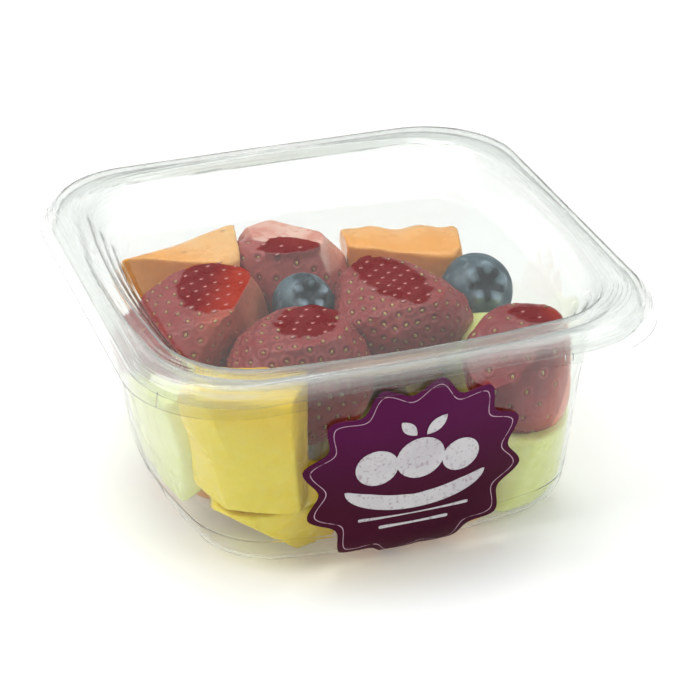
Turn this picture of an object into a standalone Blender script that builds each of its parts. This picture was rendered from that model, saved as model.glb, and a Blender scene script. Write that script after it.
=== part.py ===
"""A clear square deli tub of cut fruit, shut by its recessed lid, with a star seal on its front wall.

Metres, +Z up. The origin is the middle of the base, on the surface that the tub stands on, and the
front wall, which carries the seal, faces -Y. Fruit pieces are shaped first and then settled: each is
pressed flat against the wall, the floor, the lid and the neighbours that it touches.
"""

import math
import random
from dataclasses import dataclass

import bmesh
import bpy
from mathutils import Euler, Matrix, Vector
from mathutils.bvhtree import BVHTree

MM = 0.001

# Overall sizes of the pack, in millimetres as all the sizes below.
HEIGHT = 59.4
SKIRT_HALF = 63.6
FLANGE_HALF = 60.0
MOUTH_HALF = 53.8
MOUTH_BOW = 1.96
PLASTIC = 0.55

# The lid's stepped recess and its skirt, as depths under the flange.
RECESS_SHELF_DEPTH = 3.2
RECESS_LEDGE_DEPTH = 6.0
RECESS_FLOOR_DEPTH = 9.0
SKIRT_CREASE_DEPTH = 2.6
SKIRT_DEPTH = 6.2

# The tub's wall, which bows out between its corners, and its rounded heel.
WALL_TOP_DEPTH = 7.0
WALL_TOP_HALF = 52.4
WALL_TOP_RADIUS = 26.5
WALL_TOP_BOW = 4.8
WALL_DRAFT = 7.0
HEEL_RADIUS = 10.3
HEEL_CORNER_RADIUS = 20.0
HEEL_BOW = 3.2
BASE_CORNER_RADIUS = 15.0
BASE_BOW = 2.2
HEEL_STEPS = 3

# The ways that the points of every ring face, in degrees from a side's middle to a corner's.
OCTANT_TURNS = (0.0, 5.0, 12.0, 22.0, 33.5, 45.0)

# The star seal.
SEAL_POINTS = 12
SEAL_RADIUS = 27.1
SEAL_WAVE = 4.0
SEAL_CENTRE_ACROSS = 0.4
SEAL_CENTRE_DOWN = 27.0
SEAL_TURN = 81.4
SEAL_THICKNESS = 0.2
SEAL_STEPS_PER_POINT = 4
SEAL_RINGS = (0.4, 0.65, 0.8, 0.91, 1.0)
SEAL_LIFT = 0.5

# Room left between pieces.
GAP = 0.3

# A berry's roundness, a cut block's rounded edges, bulge and uneven corners.
STRAWBERRY_ROWS = 10
STRAWBERRY_SEGMENTS = 16
STRAWBERRY_SHOULDER = 0.36
STRAWBERRY_SWELL = 0.05
BLUEBERRY_SEGMENTS = 15
BLUEBERRY_ROWS = 6
CHUNK_SEGMENTS = 4
CHUNK_ROUNDING = 2.6
CHUNK_BULGE = 0.035
CHUNK_DRIFT = 0.11


@dataclass
class Finish:
    """Colour, roughness and, for clear plastic, transmission and alpha."""

    colour: tuple
    roughness: float
    transmission: float = 0.0
    alpha: float = 1.0


FINISHES = {
    "clear_plastic": Finish((0.86, 0.90, 0.88), 0.06, 1.0, 0.30),
    "seal_paper": Finish((0.095, 0.010, 0.062), 0.32),
    "strawberry": Finish((0.42, 0.035, 0.03), 0.30),
    "blueberry": Finish((0.06, 0.08, 0.13), 0.55),
    "cantaloupe": Finish((0.86, 0.42, 0.12), 0.40),
    "honeydew": Finish((0.72, 0.80, 0.40), 0.40),
    "mango": Finish((0.90, 0.66, 0.05), 0.38),
}

# How much each fruit resists being pressed flat by a neighbour.
FIRMNESS = {"strawberry": 4.0, "blueberry": 8.0, "cantaloupe": 1.5, "honeydew": 1.0, "mango": 1.5}


@dataclass
class Ring:
    """One level ring of a shell: a rounded square whose sides are bowed out into wide arcs.

    half and radius are half the width and the corner radius without the bow. The bow widens the
    sides only: the corners reach as far out as without it.
    """

    half: float
    radius: float
    bow: float
    z: float

    def arcs(self):
        """Half width, corner arc's radius and middle, side arc's radius, and the angle where they meet."""
        width = self.half + self.bow
        reach = math.sqrt(2) * (self.half - self.radius) + self.radius
        meet = 2 * self.bow / (self.half - self.radius)
        narrowing = math.sqrt(2) / (1 + math.tan(meet / 2))
        corner = (narrowing * width - reach) / (narrowing - 1)
        middle = (width - corner) / (1 + math.tan(meet / 2))
        side = corner + middle / math.sin(meet) if meet else 0.0
        return width, corner, middle, side, meet

    def facing(self, azimuth):
        """The point whose outward way is at this azimuth, in degrees."""
        width, corner, middle, side, meet = self.arcs()
        side_azimuth = 90 * round(azimuth / 90)
        angle = math.radians(azimuth - side_azimuth)
        if abs(angle) <= meet:
            out, along = width - side * (1 - math.cos(angle)), side * math.sin(angle)
        else:
            out = middle + corner * math.cos(angle)
            along = math.copysign(middle, angle) + corner * math.sin(angle)
        point = Matrix.Rotation(math.radians(side_azimuth), 2) @ Vector((out, along))
        return Vector((point.x, point.y, self.z))

    def at(self, across):
        """The place on the front side, at a distance along it from its middle, and the angle it faces."""
        width, corner, middle, side, meet = self.arcs()
        distance = abs(across)
        if distance <= side * meet:
            angle = distance / side
            x, y = side * math.sin(angle), width - side + side * math.cos(angle)
        else:
            angle = meet + (distance - side * meet) / corner
            x, y = middle + corner * math.sin(angle), middle + corner * math.cos(angle)
        return Vector((math.copysign(x, across), -y, self.z)), math.copysign(angle, across)

    def blend(self, other, share):
        """The ring that lies a share of the way to another."""
        return Ring(
            self.half + share * (other.half - self.half),
            self.radius + share * (other.radius - self.radius),
            self.bow + share * (other.bow - self.bow),
            self.z + share * (other.z - self.z),
        )


@dataclass
class Piece:
    """One piece of fruit before it is settled.

    centre and size are in millimetres and turn in degrees. cuts are knife planes, each a point and
    an outward normal. scoop hollows the top, and blunt rounds a strawberry's tip.
    """

    name: str
    kind: str
    centre: tuple
    size: tuple
    turn: tuple = (0.0, 0.0, 0.0)
    cuts: tuple = ()
    seed: int = 1
    scoop: float = 0.0
    blunt: float = 0.5
    mesh: object = None

    def placement(self):
        """The piece's own place, as a matrix in millimetres."""
        turn = Euler([math.radians(angle) for angle in self.turn], "XYZ")
        return Matrix.Translation(self.centre) @ turn.to_matrix().to_4x4()


# ---------------------------------------------------------------- scene and materials


def clear_scene():
    """Removes every object of the open scene."""
    for obj in list(bpy.data.objects):
        bpy.data.objects.remove(obj)


def make_material(name):
    """A Principled material of one of the finishes."""
    finish = FINISHES[name]
    material = bpy.data.materials.new(name)
    material.use_nodes = True
    shader = material.node_tree.nodes["Principled BSDF"]
    shader.inputs["Base Color"].default_value = (*finish.colour, 1.0)
    shader.inputs["Roughness"].default_value = finish.roughness
    shader.inputs["Metallic"].default_value = 0.0
    shader.inputs["Transmission Weight"].default_value = finish.transmission
    shader.inputs["Alpha"].default_value = finish.alpha
    material.diffuse_color = (*finish.colour, finish.alpha)
    return material


def make_object(name, bm, material, parent, placement=None, smooth_angle=35.0):
    """Turns a mesh in millimetres into a named object in metres, under its parent."""
    placement = placement or Matrix.Identity(4)
    bmesh.ops.transform(bm, matrix=placement.inverted(), verts=bm.verts)
    bmesh.ops.scale(bm, vec=(MM, MM, MM), verts=bm.verts)
    bmesh.ops.recalc_face_normals(bm, faces=bm.faces)
    mesh = bpy.data.meshes.new(name)
    bm.to_mesh(mesh)
    bm.free()
    mesh.shade_smooth()
    mesh.set_sharp_from_angle(angle=math.radians(smooth_angle))
    mesh.materials.append(material)
    obj = bpy.data.objects.new(name, mesh)
    bpy.context.scene.collection.objects.link(obj)
    obj.location = placement.translation * MM
    obj.rotation_euler = placement.to_euler()
    obj.parent = parent
    return obj


def make_empty(name, parent=None):
    """An empty that carries the pieces parented to it."""
    empty = bpy.data.objects.new(name, None)
    bpy.context.scene.collection.objects.link(empty)
    empty.parent = parent
    return empty


# ---------------------------------------------------------------- the tub and its lid


def ring_azimuths():
    """The azimuths that the points of a ring face, anticlockwise from +X."""
    octant = list(OCTANT_TURNS)
    quarter = octant + [90 - turn for turn in octant[-2:0:-1]]
    return [90 * side + turn for side in range(4) for turn in quarter]


def ring_points(ring):
    """The points of a ring. Those of two rings that share an index face the same way."""
    return [ring.facing(azimuth) for azimuth in ring_azimuths()]


def loft(rings):
    """A closed mesh through a list of rings with equal counts, capped at both ends."""
    bm = bmesh.new()
    loops = [[bm.verts.new(point) for point in ring] for ring in rings]
    for lower, upper in zip(loops, loops[1:]):
        for here in range(len(lower)):
            there = (here + 1) % len(lower)
            bm.faces.new((lower[here], lower[there], upper[there], upper[here]))
    bm.faces.new(reversed(loops[0]))
    bm.faces.new(loops[-1])
    return bm


def inner_ring(before, ring, after, thickness):
    """The ring moved by the plastic's thickness to the left of the way before -> after."""
    along = Vector((after.half - before.half, after.z - before.z)).normalized()
    inwards = Vector((-along.y, along.x)) * thickness
    return Ring(ring.half + inwards.x, ring.radius + inwards.x, ring.bow, ring.z + inwards.y)


def shell(profile, thickness):
    """A thin shell: out along the profile from its flat middle, and back at one thickness beside it."""
    first, last = profile[0], profile[-1]
    before = [Ring(0.0, first.radius, first.bow, first.z)] + profile[:-1]
    after = profile[1:] + [last]
    beside = [inner_ring(b, r, a, thickness) for b, r, a in zip(before, profile, after)]
    return loft([ring_points(ring) for ring in profile + beside[::-1]])


def wall_rings():
    """The rings of the tub's outer face from its base round the heel to the top of its wall."""
    top = Ring(WALL_TOP_HALF, WALL_TOP_RADIUS, WALL_TOP_BOW, HEIGHT - WALL_TOP_DEPTH)
    draft = math.radians(WALL_DRAFT)
    heel_z = HEEL_RADIUS * (1 - math.sin(draft))
    heel_half = WALL_TOP_HALF - (top.z - heel_z) * math.tan(draft)
    rings = [top]
    for step in range(HEEL_STEPS + 1):
        share = step / HEEL_STEPS
        angle = draft + share * (math.pi / 2 - draft)
        rings.append(
            Ring(
                heel_half - HEEL_RADIUS * (math.cos(draft) - math.cos(angle)),
                HEEL_CORNER_RADIUS + share * (BASE_CORNER_RADIUS - HEEL_CORNER_RADIUS),
                HEEL_BOW + share * (BASE_BOW - HEEL_BOW),
                HEEL_RADIUS * (1 - math.sin(angle)),
            )
        )
    return rings[::-1]


def tub_profile():
    """The tub's outer face, from its base up the wall, out over the rim and down the lip."""
    return wall_rings() + [
        Ring(WALL_TOP_HALF + 3.7, 25.0, MOUTH_BOW, HEIGHT - 2.2),
        Ring(WALL_TOP_HALF + 4.5, 24.6, MOUTH_BOW, HEIGHT - 1.5),
        Ring(FLANGE_HALF - 1.3, 23.4, 0.3, HEIGHT - 1.6),
        Ring(FLANGE_HALF - 0.5, 23.8, 0.0, HEIGHT - 2.4),
        Ring(FLANGE_HALF + 0.5, 24.4, 0.0, HEIGHT - 5.4),
    ]


def lid_profile():
    """The lid's upper face, from its sunk floor up two steps, over the flange and down the skirt."""
    floor_z = HEIGHT - RECESS_FLOOR_DEPTH
    ledge_z = HEIGHT - RECESS_LEDGE_DEPTH
    shelf_z = HEIGHT - RECESS_SHELF_DEPTH
    crease_z = HEIGHT - SKIRT_CREASE_DEPTH
    return [
        Ring(46.3, 20.0, 1.5, floor_z),
        Ring(47.1, 20.6, 1.5, floor_z + 0.5),
        Ring(48.5, 21.2, 1.6, ledge_z - 0.3),
        Ring(49.3, 21.4, 1.7, ledge_z),
        Ring(50.7, 21.8, 1.8, shelf_z - 0.3),
        Ring(51.5, 22.0, 1.9, shelf_z),
        Ring(53.0, 22.3, MOUTH_BOW, HEIGHT - 0.5),
        Ring(MOUTH_HALF, 22.4, MOUTH_BOW, HEIGHT),
        Ring(FLANGE_HALF - 0.4, 22.8, 0.2, HEIGHT),
        Ring(FLANGE_HALF + 0.3, 23.2, 0.0, HEIGHT - 0.5),
        Ring(SKIRT_HALF - 1.5, 24.6, 0.0, crease_z + 0.3),
        Ring(SKIRT_HALF - 1.2, 24.8, 0.0, crease_z - 0.5),
        Ring(SKIRT_HALF, 25.6, 0.0, HEIGHT - SKIRT_DEPTH),
    ]


# ---------------------------------------------------------------- the seal


def down_the_wall(distance):
    """The ring reached by going down the outer face from the wall's top, and its slope there."""
    rings = wall_rings()[::-1]
    for high, low in zip(rings, rings[1:]):
        length = math.hypot(high.half - low.half, high.z - low.z)
        if distance <= length or low is rings[-1]:
            slope = math.atan2(high.half - low.half, high.z - low.z)
            return high.blend(low, distance / length), slope
        distance -= length


def on_the_wall(across, down, lift):
    """A point on the front wall, wrapped round its corners, lifted off it by a distance."""
    ring, slope = down_the_wall(down)
    point, angle = ring.at(across)
    outwards = Vector((math.sin(angle), -math.cos(angle), -math.tan(slope))).normalized()
    return point + outwards * lift


def seal_radius(angle):
    """The wavy outline of the seal, as a radius for each angle round it."""
    wave = math.cos(SEAL_POINTS * angle)
    return SEAL_RADIUS - SEAL_WAVE * (1 - wave) / 2


def make_seal():
    """The star seal: a thin disc with a wavy edge, wrapped over the front wall."""
    bm = bmesh.new()
    steps = SEAL_POINTS * SEAL_STEPS_PER_POINT
    turn = math.radians(SEAL_TURN)
    faces = []
    for lift in (SEAL_LIFT, SEAL_LIFT + SEAL_THICKNESS):
        middle = bm.verts.new(on_the_wall(SEAL_CENTRE_ACROSS, SEAL_CENTRE_DOWN, lift))
        loops = []
        for share in SEAL_RINGS:
            loop = []
            for step in range(steps):
                angle = 2 * math.pi * step / steps
                reach = share * seal_radius(angle)
                across = SEAL_CENTRE_ACROSS + reach * math.cos(angle + turn)
                down = SEAL_CENTRE_DOWN - reach * math.sin(angle + turn)
                loop.append(bm.verts.new(on_the_wall(across, down, lift)))
            loops.append(loop)
        faces.append(loops)
        for here in range(steps):
            there = (here + 1) % steps
            bm.faces.new((middle, loops[0][here], loops[0][there]))
            for near, far in zip(loops, loops[1:]):
                bm.faces.new((near[here], far[here], far[there], near[there]))
    back, front = faces[0][-1], faces[1][-1]
    for here in range(steps):
        there = (here + 1) % steps
        bm.faces.new((back[here], back[there], front[there], front[here]))
    return bm


# ---------------------------------------------------------------- the fruit's own shapes


def turned(rows, segments, lobes=None):
    """A closed solid turned about Z through rows of (radius, height), top to bottom.

    lobes, where given, is a function of (row, angle) that scales the radius.
    """
    bm = bmesh.new()
    top = bm.verts.new((0.0, 0.0, rows[0][1]))
    loops = []
    for row, (radius, height) in enumerate(rows[1:-1]):
        loop = []
        for step in range(segments):
            angle = 2 * math.pi * step / segments
            reach = radius * (lobes(row, angle) if lobes else 1.0)
            loop.append(bm.verts.new((reach * math.cos(angle), reach * math.sin(angle), height)))
        loops.append(loop)
    bottom = bm.verts.new((0.0, 0.0, rows[-1][1]))
    for here in range(segments):
        there = (here + 1) % segments
        bm.faces.new((top, loops[0][here], loops[0][there]))
        for upper, lower in zip(loops, loops[1:]):
            bm.faces.new((upper[here], lower[here], lower[there], upper[there]))
        bm.faces.new((loops[-1][here], bottom, loops[-1][there]))
    return bm


def strawberry(piece):
    """A strawberry with its hull cut off at the top of local Z and its tip at the bottom."""
    width, depth, length = piece.size
    rows = [(0.0, 0.5)]
    for row in range(1, STRAWBERRY_ROWS):
        down = row / STRAWBERRY_ROWS
        past = max(0.0, down - STRAWBERRY_SHOULDER) / (1 - STRAWBERRY_SHOULDER)
        shoulder = math.sqrt(1 - (1 - min(down / STRAWBERRY_SHOULDER, 1.0)) ** 2)
        taper = math.cos(math.pi / 2 * past) ** piece.blunt
        rows.append((0.5 * shoulder * taper, 0.5 - down))
    rows.append((0.0, -0.5))
    rng = random.Random(piece.seed)
    swell = [rng.uniform(-STRAWBERRY_SWELL, STRAWBERRY_SWELL) for _ in range(4)]

    def lobes(row, angle):
        return (
            1
            + swell[0] * math.cos(2 * angle + swell[1] * 40)
            + swell[2] * math.cos(3 * angle + swell[3] * 40)
        )

    bm = turned(rows, STRAWBERRY_SEGMENTS, lobes)
    bmesh.ops.scale(bm, vec=(width, depth, length), verts=bm.verts)
    return bm


def blueberry(piece):
    """A slightly flat round berry with its five-pointed crown round a dimple at the top of local Z."""
    width, depth, height = piece.size
    crown = [(0.0, 0.36), (0.10, 0.355), (0.15, 0.40), (0.185, 0.475), (0.235, 0.445)]
    round_rows = []
    for row in range(BLUEBERRY_ROWS):
        angle = math.radians(55 - 120 * row / (BLUEBERRY_ROWS - 1))
        round_rows.append((0.5 * math.cos(angle), 0.5 * math.sin(angle)))
    rows = crown + round_rows + [(0.0, -0.5)]

    def lobes(row, angle):
        return 1 + (0.16 * math.cos(5 * angle) if row in (1, 2) else 0.0)

    bm = turned(rows, BLUEBERRY_SEGMENTS, lobes)
    bmesh.ops.scale(bm, vec=(width, depth, height), verts=bm.verts)
    return bm


def chunk(piece):
    """A knife-cut block of melon or mango: a box with rounded edges and uneven corners."""
    half = Vector(piece.size) / 2
    rng = random.Random(piece.seed)
    drift = [
        Vector([rng.uniform(-CHUNK_DRIFT, CHUNK_DRIFT) * half[axis] for axis in range(3)])
        for _ in range(8)
    ]
    bm = bmesh.new()
    bmesh.ops.create_cube(bm, size=2.0)
    bmesh.ops.subdivide_edges(bm, edges=bm.edges, cuts=CHUNK_SEGMENTS - 1, use_grid_fill=True)
    core = half - Vector((CHUNK_ROUNDING, CHUNK_ROUNDING, CHUNK_ROUNDING))
    for vert in bm.verts:
        share = vert.co.copy()
        spread = Vector([math.copysign(abs(part) ** 0.6, part) for part in share])
        point = Vector([half[axis] * spread[axis] for axis in range(3)])
        inside = Vector([max(-core[axis], min(core[axis], point[axis])) for axis in range(3)])
        out = point - inside
        if out.length > 0:
            point = inside + out.normalized() * CHUNK_ROUNDING
        bulge = CHUNK_BULGE * (2 - share.x**2 - share.y**2)
        point.z *= 1 + bulge
        if share.z > 0:
            point.z -= piece.scoop * share.z * (1 - share.x**2)
        for corner in range(8):
            signs = [1 if corner >> axis & 1 else -1 for axis in range(3)]
            weight = math.prod((1 + signs[axis] * share[axis]) / 2 for axis in range(3))
            point += drift[corner] * weight
        vert.co = point
    return bm


SHAPES = {
    "strawberry": strawberry,
    "blueberry": blueberry,
    "cantaloupe": chunk,
    "honeydew": chunk,
    "mango": chunk,
}


# ---------------------------------------------------------------- settling the fruit


def slice_off(bm, point, normal):
    """Cuts away what lies beyond a plane and closes the cut, if the plane reaches the mesh."""
    if all((vert.co - point).dot(normal) < 1e-6 for vert in bm.verts):
        return
    geometry = bm.verts[:] + bm.edges[:] + bm.faces[:]
    cut = bmesh.ops.bisect_plane(
        bm, geom=geometry, dist=1e-4, plane_co=point, plane_no=normal, clear_outer=True
    )
    edges = [item for item in cut["geom_cut"] if isinstance(item, bmesh.types.BMEdge)]
    bmesh.ops.contextual_create(bm, geom=[edge for edge in edges if edge.is_boundary])
    bmesh.ops.remove_doubles(bm, verts=bm.verts, dist=0.02)


def wall_planes():
    """The planes of the tub's inner facets, held off by the gap, each a point and an outward normal."""
    planes = []
    rings = wall_rings()
    azimuths = ring_azimuths()
    for azimuth, following in zip(azimuths, azimuths[1:] + [360.0]):
        turn = math.radians((azimuth + following) / 2)
        across = Vector((math.cos(turn), math.sin(turn), 0.0))
        reaches = [max(point.dot(across) for point in ring_points(ring)) for ring in rings]
        for low, high, reach, top_reach in zip(rings, rings[1:], reaches, reaches[1:]):
            lean = (top_reach - reach) / (high.z - low.z)
            normal = (across - Vector((0.0, 0.0, lean))).normalized()
            outer = across * reach + Vector((0.0, 0.0, low.z))
            planes.append((outer - normal * (PLASTIC + GAP), normal))
    return planes


def shape_piece(piece, planes):
    """Builds a piece in its place and presses it against the knife, the wall, the floor and the lid."""
    bm = SHAPES[piece.kind](piece)
    bmesh.ops.transform(bm, matrix=piece.placement(), verts=bm.verts)
    for point, normal in piece.cuts:
        slice_off(bm, Vector(point), Vector(normal).normalized())
    for point, normal in planes:
        slice_off(bm, point, normal)
    slice_off(bm, Vector((0.0, 0.0, PLASTIC + GAP)), Vector((0.0, 0.0, -1.0)))
    lid_z = HEIGHT - RECESS_FLOOR_DEPTH - PLASTIC - GAP
    slice_off(bm, Vector((0.0, 0.0, lid_z)), Vector((0.0, 0.0, 1.0)))
    piece.mesh = bm


def middle_of(bm):
    """The middle of a mesh's box."""
    lows = [min(vert.co[axis] for vert in bm.verts) for axis in range(3)]
    highs = [max(vert.co[axis] for vert in bm.verts) for axis in range(3)]
    return (Vector(lows) + Vector(highs)) / 2


def press_together(first, second):
    """Flattens two pieces on one plane between them, the softer one more, where they overlap."""
    trees = [BVHTree.FromBMesh(piece.mesh) for piece in (first, second)]
    if not trees[0].overlap(trees[1]):
        return
    centres = [middle_of(piece.mesh) for piece in (first, second)]
    across = (centres[1] - centres[0]).normalized()
    reach_out = max((vert.co - centres[0]).dot(across) for vert in first.mesh.verts)
    reach_back = max((centres[1] - vert.co).dot(across) for vert in second.mesh.verts)
    overlap = reach_out + reach_back - (centres[1] - centres[0]).length
    firm, other = FIRMNESS[first.kind], FIRMNESS[second.kind]
    plane = centres[0] + across * (reach_out - overlap * other / (firm + other))
    slice_off(first.mesh, plane - across * GAP / 2, across)
    slice_off(second.mesh, plane + across * GAP / 2, -across)


FRUIT = [
    # What shows through the lid.
    Piece(
        "strawberry_left", "strawberry", (-30.0, 8.5, 35.6), (38.0, 31.0, 46.0), (68.0, 0.0, -24.0),
        cuts=(((-16.0, 13.0, 45.4), (0.87, -0.46, 0.17)),), seed=3,
    ),
    Piece(
        "strawberry_back", "strawberry", (-4.0, 26.0, 34.4), (34.0, 30.0, 40.0), (-58.0, 0.0, 8.0),
        cuts=(((1.6, 28.4, 49.4), (0.66, 0.53, 0.53)),), seed=5,
    ),
    Piece(
        "strawberry_front", "strawberry", (-17.0, -17.0, 35.4), (35.0, 31.0, 38.0), (74.0, 0.0, 6.0),
        seed=7,
    ),
    Piece(
        "strawberry_middle", "strawberry", (12.0, -1.5, 36.7), (31.0, 30.0, 47.0), (72.0, 0.0, -14.0),
        seed=11,
    ),
    Piece(
        "strawberry_right", "strawberry", (32.2, -34.8, 37.2), (31.0, 22.0, 29.0), (-6.0, -6.0, 30.0),
        cuts=(((41.5, -41.0, 32.4), (0.93, -0.05, -0.36)),), seed=13,
    ),
    Piece(
        "blueberry_middle", "blueberry", (-8.5, 4.5, 42.2), (16.6, 16.6, 15.6), (41.0, 0.0, 7.0),
        seed=2,
    ),
    Piece(
        "blueberry_right", "blueberry", (36.0, 0.5, 40.9), (18.4, 18.4, 15.4), (52.0, 0.0, 5.0),
        seed=4,
    ),
    Piece(
        "cantaloupe_left", "cantaloupe", (-25.6, 28.4, 36.3), (38.0, 17.0, 23.0), (0.0, -4.0, 22.0),
        seed=21,
    ),
    Piece(
        "cantaloupe_right", "cantaloupe", (23.2, 22.3, 36.9), (32.0, 19.0, 24.0), (6.0, 0.0, -22.0),
        scoop=3.2, seed=22,
    ),
    # What shows through the front and left walls.
    Piece(
        "mango_front", "mango", (-32.5, -38.5, 32.9), (31.0, 16.0, 29.0), (0.0, 0.0, -27.0), seed=31,
    ),
    Piece("mango_low", "mango", (-28.0, -34.0, 10.5), (28.0, 22.0, 17.0), (0.0, 0.0, -12.0), seed=32),
    Piece(
        "honeydew_left", "honeydew", (-46.0, -8.0, 28.4), (13.0, 32.0, 34.0), (0.0, -6.0, 4.0), seed=41,
    ),
    Piece(
        "honeydew_front", "honeydew", (33.0, -34.5, 16.2), (25.0, 25.0, 25.0), (0.0, 10.0, 22.0),
        seed=42,
    ),
    Piece(
        "honeydew_middle", "honeydew", (33.0, -14.5, 28.9), (20.0, 17.0, 19.0), (0.0, 0.0, 12.0),
        seed=43,
    ),
    Piece(
        "cantaloupe_front", "cantaloupe", (4.0, -38.0, 10.5), (34.0, 21.0, 18.0), (0.0, 0.0, 4.0),
        seed=23,
    ),
    # The rest of the lower layer.
    Piece(
        "cantaloupe_low", "cantaloupe", (-29.0, -7.0, 10.5), (29.0, 26.0, 18.0), (0.0, 0.0, 8.0),
        seed=24,
    ),
    Piece("honeydew_low", "honeydew", (3.0, -9.0, 11.0), (28.0, 30.0, 19.0), (0.0, 0.0, -6.0), seed=44),
    Piece("mango_right", "mango", (33.0, -3.0, 10.5), (24.0, 30.0, 18.0), (0.0, 0.0, 5.0), seed=33),
    Piece(
        "honeydew_back", "honeydew", (-27.0, 27.0, 11.5), (30.0, 28.0, 20.0), (0.0, 0.0, -5.0), seed=45,
    ),
    Piece("mango_back", "mango", (3.0, 29.5, 11.0), (27.0, 27.0, 19.0), (0.0, 0.0, 6.0), seed=34),
    Piece(
        "honeydew_corner", "honeydew", (31.0, 29.0, 11.5), (26.0, 26.0, 20.0), (0.0, 0.0, -4.0), seed=46,
    ),
]


def settle(pieces):
    """Shapes every piece and presses each pair that overlaps on one plane."""
    planes = wall_planes()
    for piece in pieces:
        shape_piece(piece, planes)
    for index, first in enumerate(pieces):
        for second in pieces[index + 1 :]:
            press_together(first, second)


def main():
    clear_scene()
    materials = {name: make_material(name) for name in FINISHES}
    pack = make_empty("pack")
    contents = make_empty("contents", pack)
    make_object("tub", shell(tub_profile(), PLASTIC), materials["clear_plastic"], pack)
    make_object("lid", shell(lid_profile(), -PLASTIC), materials["clear_plastic"], pack)
    make_object("seal", make_seal(), materials["seal_paper"], pack)
    settle(FRUIT)
    for piece in FRUIT:
        make_object(piece.name, piece.mesh, materials[piece.kind], contents, piece.placement())


main()
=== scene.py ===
"""Looks of a clear deli tub of cut fruit: its fogged lid, wavy seal, moist fruit and pale studio.

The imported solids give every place. Each is stood for by a finer piece: the tub and lid by thin clear
shells, each berry by one with its seeds, each melon and mango block by one with its fibres. Sizes
are in millimetres unless a docstring says otherwise.
"""

import logging
import math
from collections.abc import Iterator
from contextlib import contextmanager
from dataclasses import astuple, dataclass
from enum import Enum

import bpy
import numpy as np
from mathutils import Euler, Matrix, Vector, noise
from mathutils.bvhtree import BVHTree
from mathutils.kdtree import KDTree


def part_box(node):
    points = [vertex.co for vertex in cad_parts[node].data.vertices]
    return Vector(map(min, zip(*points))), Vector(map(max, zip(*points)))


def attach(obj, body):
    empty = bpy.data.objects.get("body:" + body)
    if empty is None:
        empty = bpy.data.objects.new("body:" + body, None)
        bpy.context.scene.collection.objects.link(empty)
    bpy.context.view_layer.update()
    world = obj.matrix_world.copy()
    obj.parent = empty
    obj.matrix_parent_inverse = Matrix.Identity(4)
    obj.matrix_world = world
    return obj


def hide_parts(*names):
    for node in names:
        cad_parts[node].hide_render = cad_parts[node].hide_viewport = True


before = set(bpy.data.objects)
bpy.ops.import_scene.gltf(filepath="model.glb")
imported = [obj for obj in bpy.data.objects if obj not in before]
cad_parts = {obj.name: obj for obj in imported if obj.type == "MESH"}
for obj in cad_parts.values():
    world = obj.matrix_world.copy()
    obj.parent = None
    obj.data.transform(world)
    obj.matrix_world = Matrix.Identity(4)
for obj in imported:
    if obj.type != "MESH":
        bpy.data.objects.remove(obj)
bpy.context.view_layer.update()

LOG = logging.getLogger("fruit_cup")
MM = 0.001
BODY = "root"


def node_box(node: str) -> tuple[Vector, Vector]:
    """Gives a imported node's lowest and highest corners in millimetres."""
    low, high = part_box(node)
    return low / MM, high / MM


Rgb = tuple[float, float, float]
Triple = tuple[float, float, float]

HEIGHT = node_box("lid")[1].z
SKIRT_HALF = node_box("lid")[1].x
PLASTIC = 0.45
WALL_GAP = 0.45
LID_GAP = 0.25
FOG_LIFT = 0.15
FAR = 99.0


# ---------------------------------------------------------------- small modelling helpers


def deselect_all() -> None:
    """Leaves nothing selected and no object active."""
    bpy.ops.object.select_all(action="DESELECT")
    bpy.context.view_layer.objects.active = None


def take(obj: bpy.types.Object) -> None:
    """Makes an object the only selected one, and active."""
    deselect_all()
    obj.select_set(True)
    bpy.context.view_layer.objects.active = obj


@contextmanager
def edit_mode() -> Iterator[None]:
    """Holds the active object in edit mode."""
    bpy.ops.object.mode_set(mode="EDIT")
    yield
    bpy.ops.object.mode_set(mode="OBJECT")


def apply_modifier(obj: bpy.types.Object, kind: str, **settings: object) -> None:
    """Adds a modifier with its settings and applies it.

    Args:
        obj: The object that takes the modifier.
        kind: The modifier's type, such as "SOLIDIFY".
        settings: Values set on the modifier before it is applied.
    """
    take(obj)
    modifier = obj.modifiers.new(kind.title(), kind)
    for name, value in settings.items():
        setattr(modifier, name, value)
    bpy.ops.object.modifier_apply(modifier=modifier.name)


def face_outwards(obj: bpy.types.Object) -> None:
    """Turns every face of an object outwards."""
    take(obj)
    with edit_mode():
        bpy.ops.mesh.select_all(action="SELECT")
        bpy.ops.mesh.normals_make_consistent(inside=False)


def points_of(obj: bpy.types.Object) -> np.ndarray:
    """Gives an object's vertices in millimetres, one row each."""
    points = np.empty(len(obj.data.vertices) * 3, np.float32)
    obj.data.vertices.foreach_get("co", points)
    return points.reshape(-1, 3).astype(np.float64) / MM


def normals_of(obj: bpy.types.Object) -> np.ndarray:
    """Gives an object's vertex normals, one row each."""
    normals = np.empty(len(obj.data.vertices) * 3, np.float32)
    obj.data.vertex_normals.foreach_get("vector", normals)
    return normals.reshape(-1, 3).astype(np.float64)


def move_points(obj: bpy.types.Object, points: np.ndarray) -> None:
    """Puts an object's vertices at new places given in millimetres."""
    obj.data.vertices.foreach_set("co", (points * MM).astype(np.float32).ravel())
    obj.data.update()


def select_points(obj: bpy.types.Object, chosen: np.ndarray) -> None:
    """Selects the chosen vertices of an object, and nothing else of it."""
    take(obj)
    for edge in obj.data.edges:
        edge.select = False
    for face in obj.data.polygons:
        face.select = False
    obj.data.vertices.foreach_set("select", chosen)


def store(obj: bpy.types.Object, name: str, values: np.ndarray) -> None:
    """Stores one number for each vertex as an attribute that a material can read."""
    layer = obj.data.attributes.new(name, "FLOAT", "POINT")
    layer.data.foreach_set("value", values.astype(np.float32))


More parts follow.
